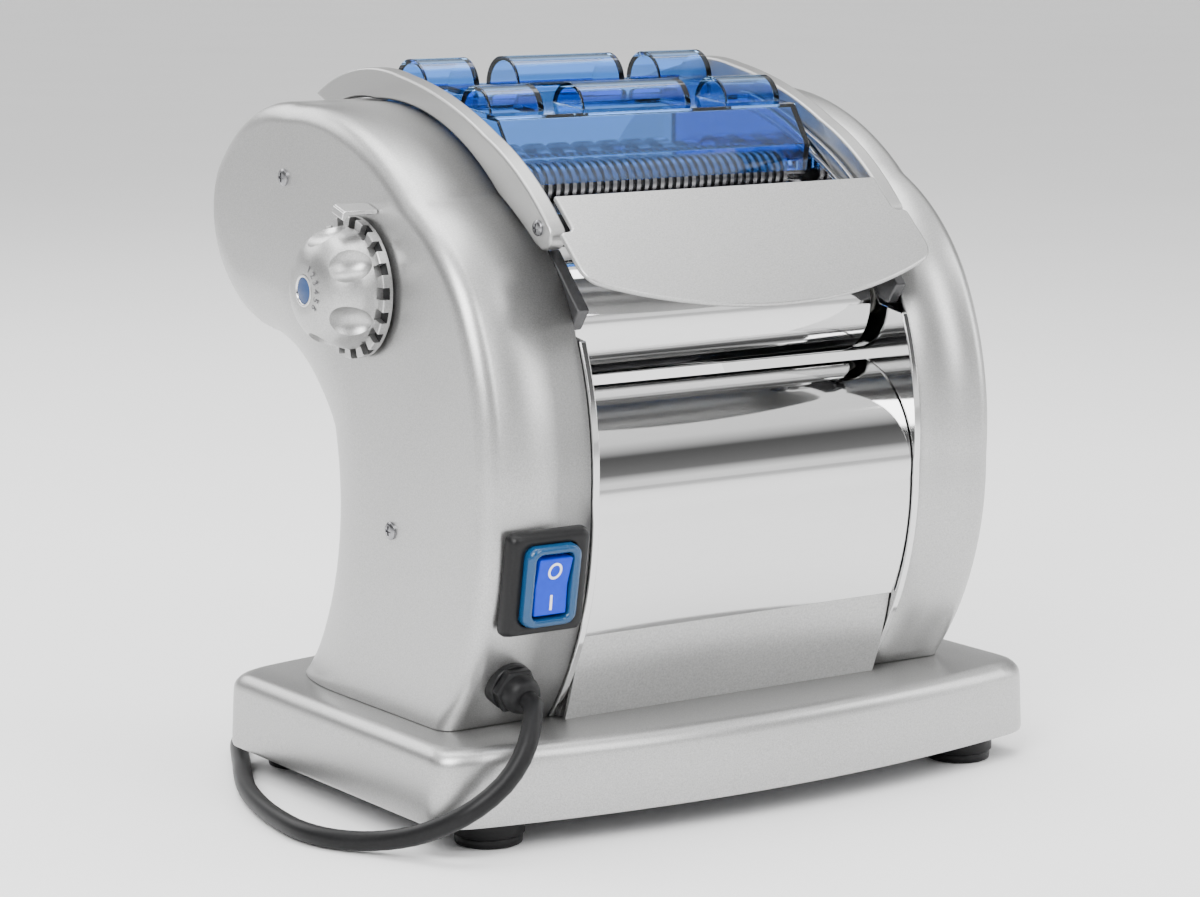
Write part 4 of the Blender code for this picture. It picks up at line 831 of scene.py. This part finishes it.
def make_gland():
    sides = [(9.8, -6), (9.8, 1.6), (9.4, 2.2)]
    collar = spun(sides, GLAND, 48)
    nut = spun([(9.7, 2.0), (9.9, 2.6), (9.9, 5.2), (9.0, 6.2), (8.0, 6.6)], GLAND, 6)
    sleeve = spun([(7.9, 6), (7.9, 8.6), (7.4, 10.6), (6.4, 12.2), (5.0, 13.2)], GLAND, 40)
    piece("gland_collar", collar, "machine", "black_plastic", ["cable_gland"], 0.3)
    piece("gland_nut", nut, "machine", "black_plastic", (), 0.4)
    piece("gland_sleeve", sleeve, "machine", "black_rubber", sharp_above=50)


# Mains cord

# The route's own points past the gland, as in the CAD model: round the base's front corner, along its
# left side and behind it to the coil
CORD_ROUTE = [
    (-117.5, -101.5, 48.6), (-123.5, -104.5, 40), (-132, -105, 31), (-142.6, -102.5, 23), (-151, -94.5, 16),
    (-158.5, -81, 9.4), (-167, -66, 5.4), (-176, -52, 4.4), (-180.8, -36, 4.4), (-180.2, -17, 4.4),
    (-176, 7.4, 4.4),
    (-168.4, 32.8, 4.4), (-158.3, 55.6, 4.4), (-149.5, 73, 4.4), (-141.5, 89, 4.4), (-133, 105, 4.4),
    (-121, 120, 4.4), (-104, 130.5, 4.4), (-84, 135, 4.4), (-58, 136, 4.4), (-29.6, 136, 4.4), (0.4, 136, 4.4),
]


def smooth_route(points, spacing):
    ends = [points[0] * 2 - points[1]] + points + [points[-1] * 2 - points[-2]]
    route = []
    for before, start, end, after in zip(ends, ends[1:], ends[2:], ends[3:]):
        steps = max(1, round((end - start).length / spacing))
        for i in range(steps):
            t = i / steps
            route.append(0.5 * (2 * start + (end - before) * t + (2 * before - 5 * start + 4 * end - after) * t ** 2
                                + (3 * start - before - 3 * end + after) * t ** 3))
    return route + [points[-1]]


def eased(value, start, end):
    """0 before start, 1 after end, and a smooth step between."""
    t = min(max((value - start) / (end - start), 0), 1)
    return t * t * (3 - 2 * t)


def coil_points():
    """Three turns: round the outside, inside it, and then on top."""
    low, high = CORD_RADIUS + 0.4, COIL_TOP
    outer, inner = COIL_RADIUS, 39.8
    points = []
    for i in range(3 * 48 + 1):
        turn = i / 48
        angle = 2 * math.pi * turn - math.pi / 2
        radius = outer + (inner - outer) * (eased(turn, 0.8, 1) - eased(turn, 2.35, 2.6))
        z = low + (high - low) * eased(turn, 1.6, 1.8)
        x, y = radius * math.cos(angle), radius * math.sin(angle)
        points.append(place(COIL_CENTRE[0] + x, COIL_CENTRE[1] + y, z))
    return points


def make_cord():
    start = [GLAND @ Vector((0, 0, out * MM)) for out in (13.4, 17.5)]
    lying = smooth_route(start + [place(*point) for point in CORD_ROUTE] + coil_points()[:1], 6 * MM)
    tail = [place(COIL_CENTRE[0] + x, COIL_CENTRE[1] - COIL_RADIUS, COIL_TOP) for x in (14, 28, 42)]
    points = lying[:-1] + coil_points() + tail
    curve = bpy.data.curves.new("mains_cord_sheath", "CURVE")
    curve.dimensions = "3D"
    curve.bevel_depth = CORD_RADIUS * MM
    curve.bevel_resolution = 5
    curve.use_fill_caps = True
    spline = curve.splines.new("POLY")
    spline.points.add(len(points) - 1)
    for point, spot in zip(spline.points, points):
        point.co = (*spot, 1)
    spline.use_smooth = True
    cord = bpy.data.objects.new("mains_cord_sheath", curve)
    bpy.context.scene.collection.objects.link(cord)
    piece("mains_cord_sheath", cord, "machine", "black_rubber", ["mains_cord", "cord_coil"])
    plug_x, plug_y, plug_z = COIL_CENTRE[0] + 42.4, COIL_CENTRE[1] - COIL_RADIUS, 13
    sections = [(11, 11, 5, 0), (14, 13, 6, 6), (24, 20, 7, 12), (31.4, 24.6, 8, 17), (31.4, 24.6, 8, 31),
                (28, 22, 7, 34)]
    body = loft([[place(plug_x + x, plug_y + a, plug_z + b) for a, b in rounded_rectangle(w, h, r)]
                 for w, h, r, x in sections])
    plug = piece("mains_plug_body", body, "machine", "black_plastic", ["mains_plug"], 0.5)
    pin = [(plug_x + x, r) for x, r in ((33, 0), (33, 2.3), (52, 2.3), (53, 1.6), (53, 0))]
    pins = [turned(pin, (plug_y + y, plug_z), 24) for y in (-9.5, 9.5)]
    contacts = piece("mains_plug_pins", merged(*pins), "machine", "chrome")


# Studio

def make_stage():
    floor = bmesh.new()
    bmesh.ops.create_grid(floor, x_segments=1, y_segments=1, size=40)
    stage = new_object("floor", floor)
    made, tree, shader = new_material("floor")
    pale = tinted(tree, noise(tree, 3), (0.90, 0.90, 0.90), (0.92, 0.92, 0.92))
    tree.links.new(pale, shader.inputs["Base Color"])
    shader.inputs["Roughness"].default_value = 0.55
    stage.data.materials.append(made)
    world = bpy.data.worlds.new("studio")
    bpy.context.scene.world = world
    world.use_nodes = True
    tree = world.node_tree
    background = tree.nodes["Background"]
    background.inputs["Strength"].default_value = 1.6
    split = tree.nodes.new("ShaderNodeSeparateXYZ")
    heights = tree.nodes.new("ShaderNodeValToRGB")
    shades = ((0.0, 1.0), (0.08, 1.0), (0.20, 0.16), (0.45, 0.08), (0.62, 0.85), (1.0, 1.0))
    while len(heights.color_ramp.elements) < len(shades):
        heights.color_ramp.elements.new(0.5)
    for element, (position, shade) in zip(heights.color_ramp.elements, shades):
        element.position = position
        element.color = (shade, shade, shade, 1)
    tree.links.new(tree.nodes.new("ShaderNodeTexCoord").outputs["Generated"], split.inputs["Vector"])
    tree.links.new(split.outputs["Z"], heights.inputs["Fac"])
    tree.links.new(heights.outputs["Color"], background.inputs["Color"])
    for name, spot, size, power in (
        ("key", (-1.3, -0.9, 1.3), (1.0, 1.2), 46),
        ("front", (0.5, -1.8, 1.2), (0.5, 1.4), 18),
        ("top", (0.1, 0.2, 1.7), (1.6, 1.2), 30),
        ("right", (1.5, -0.7, 0.8), (0.5, 1.2), 12),
        ("rear", (-0.5, 1.6, 1.2), (1.6, 0.8), 16),
    ):
        lamp = bpy.data.lights.new(name, "AREA")
        lamp.shape = "RECTANGLE"
        lamp.size, lamp.size_y = size
        lamp.energy = power
        light = bpy.data.objects.new(name, lamp)
        light.location = spot
        light.rotation_euler = (Vector(spot) - Vector((0, 0, 0.15))).to_track_quat("Z", "Y").to_euler()
        bpy.context.scene.collection.objects.link(light)


def paint_cad_nodes():
    """Every CAD node gets its own slot's material."""
    for entry in frame["record"]["subparts"]:
        node = frame["nodes"][entry["node"]]
        node.data.materials.clear()
        node.data.materials.append(MATERIALS[entry["material_slot"]])


MATERIALS = make_materials()
make_camera()
make_cord()
paint_cad_nodes()
make_housings()
make_side_plates()
make_rims()
make_base()
make_panels()
make_wheat_ear()
make_rollers()
make_cutters()
make_tray()
make_guard()
make_knob()
make_screws()
make_switch()
make_gland()
make_stage()
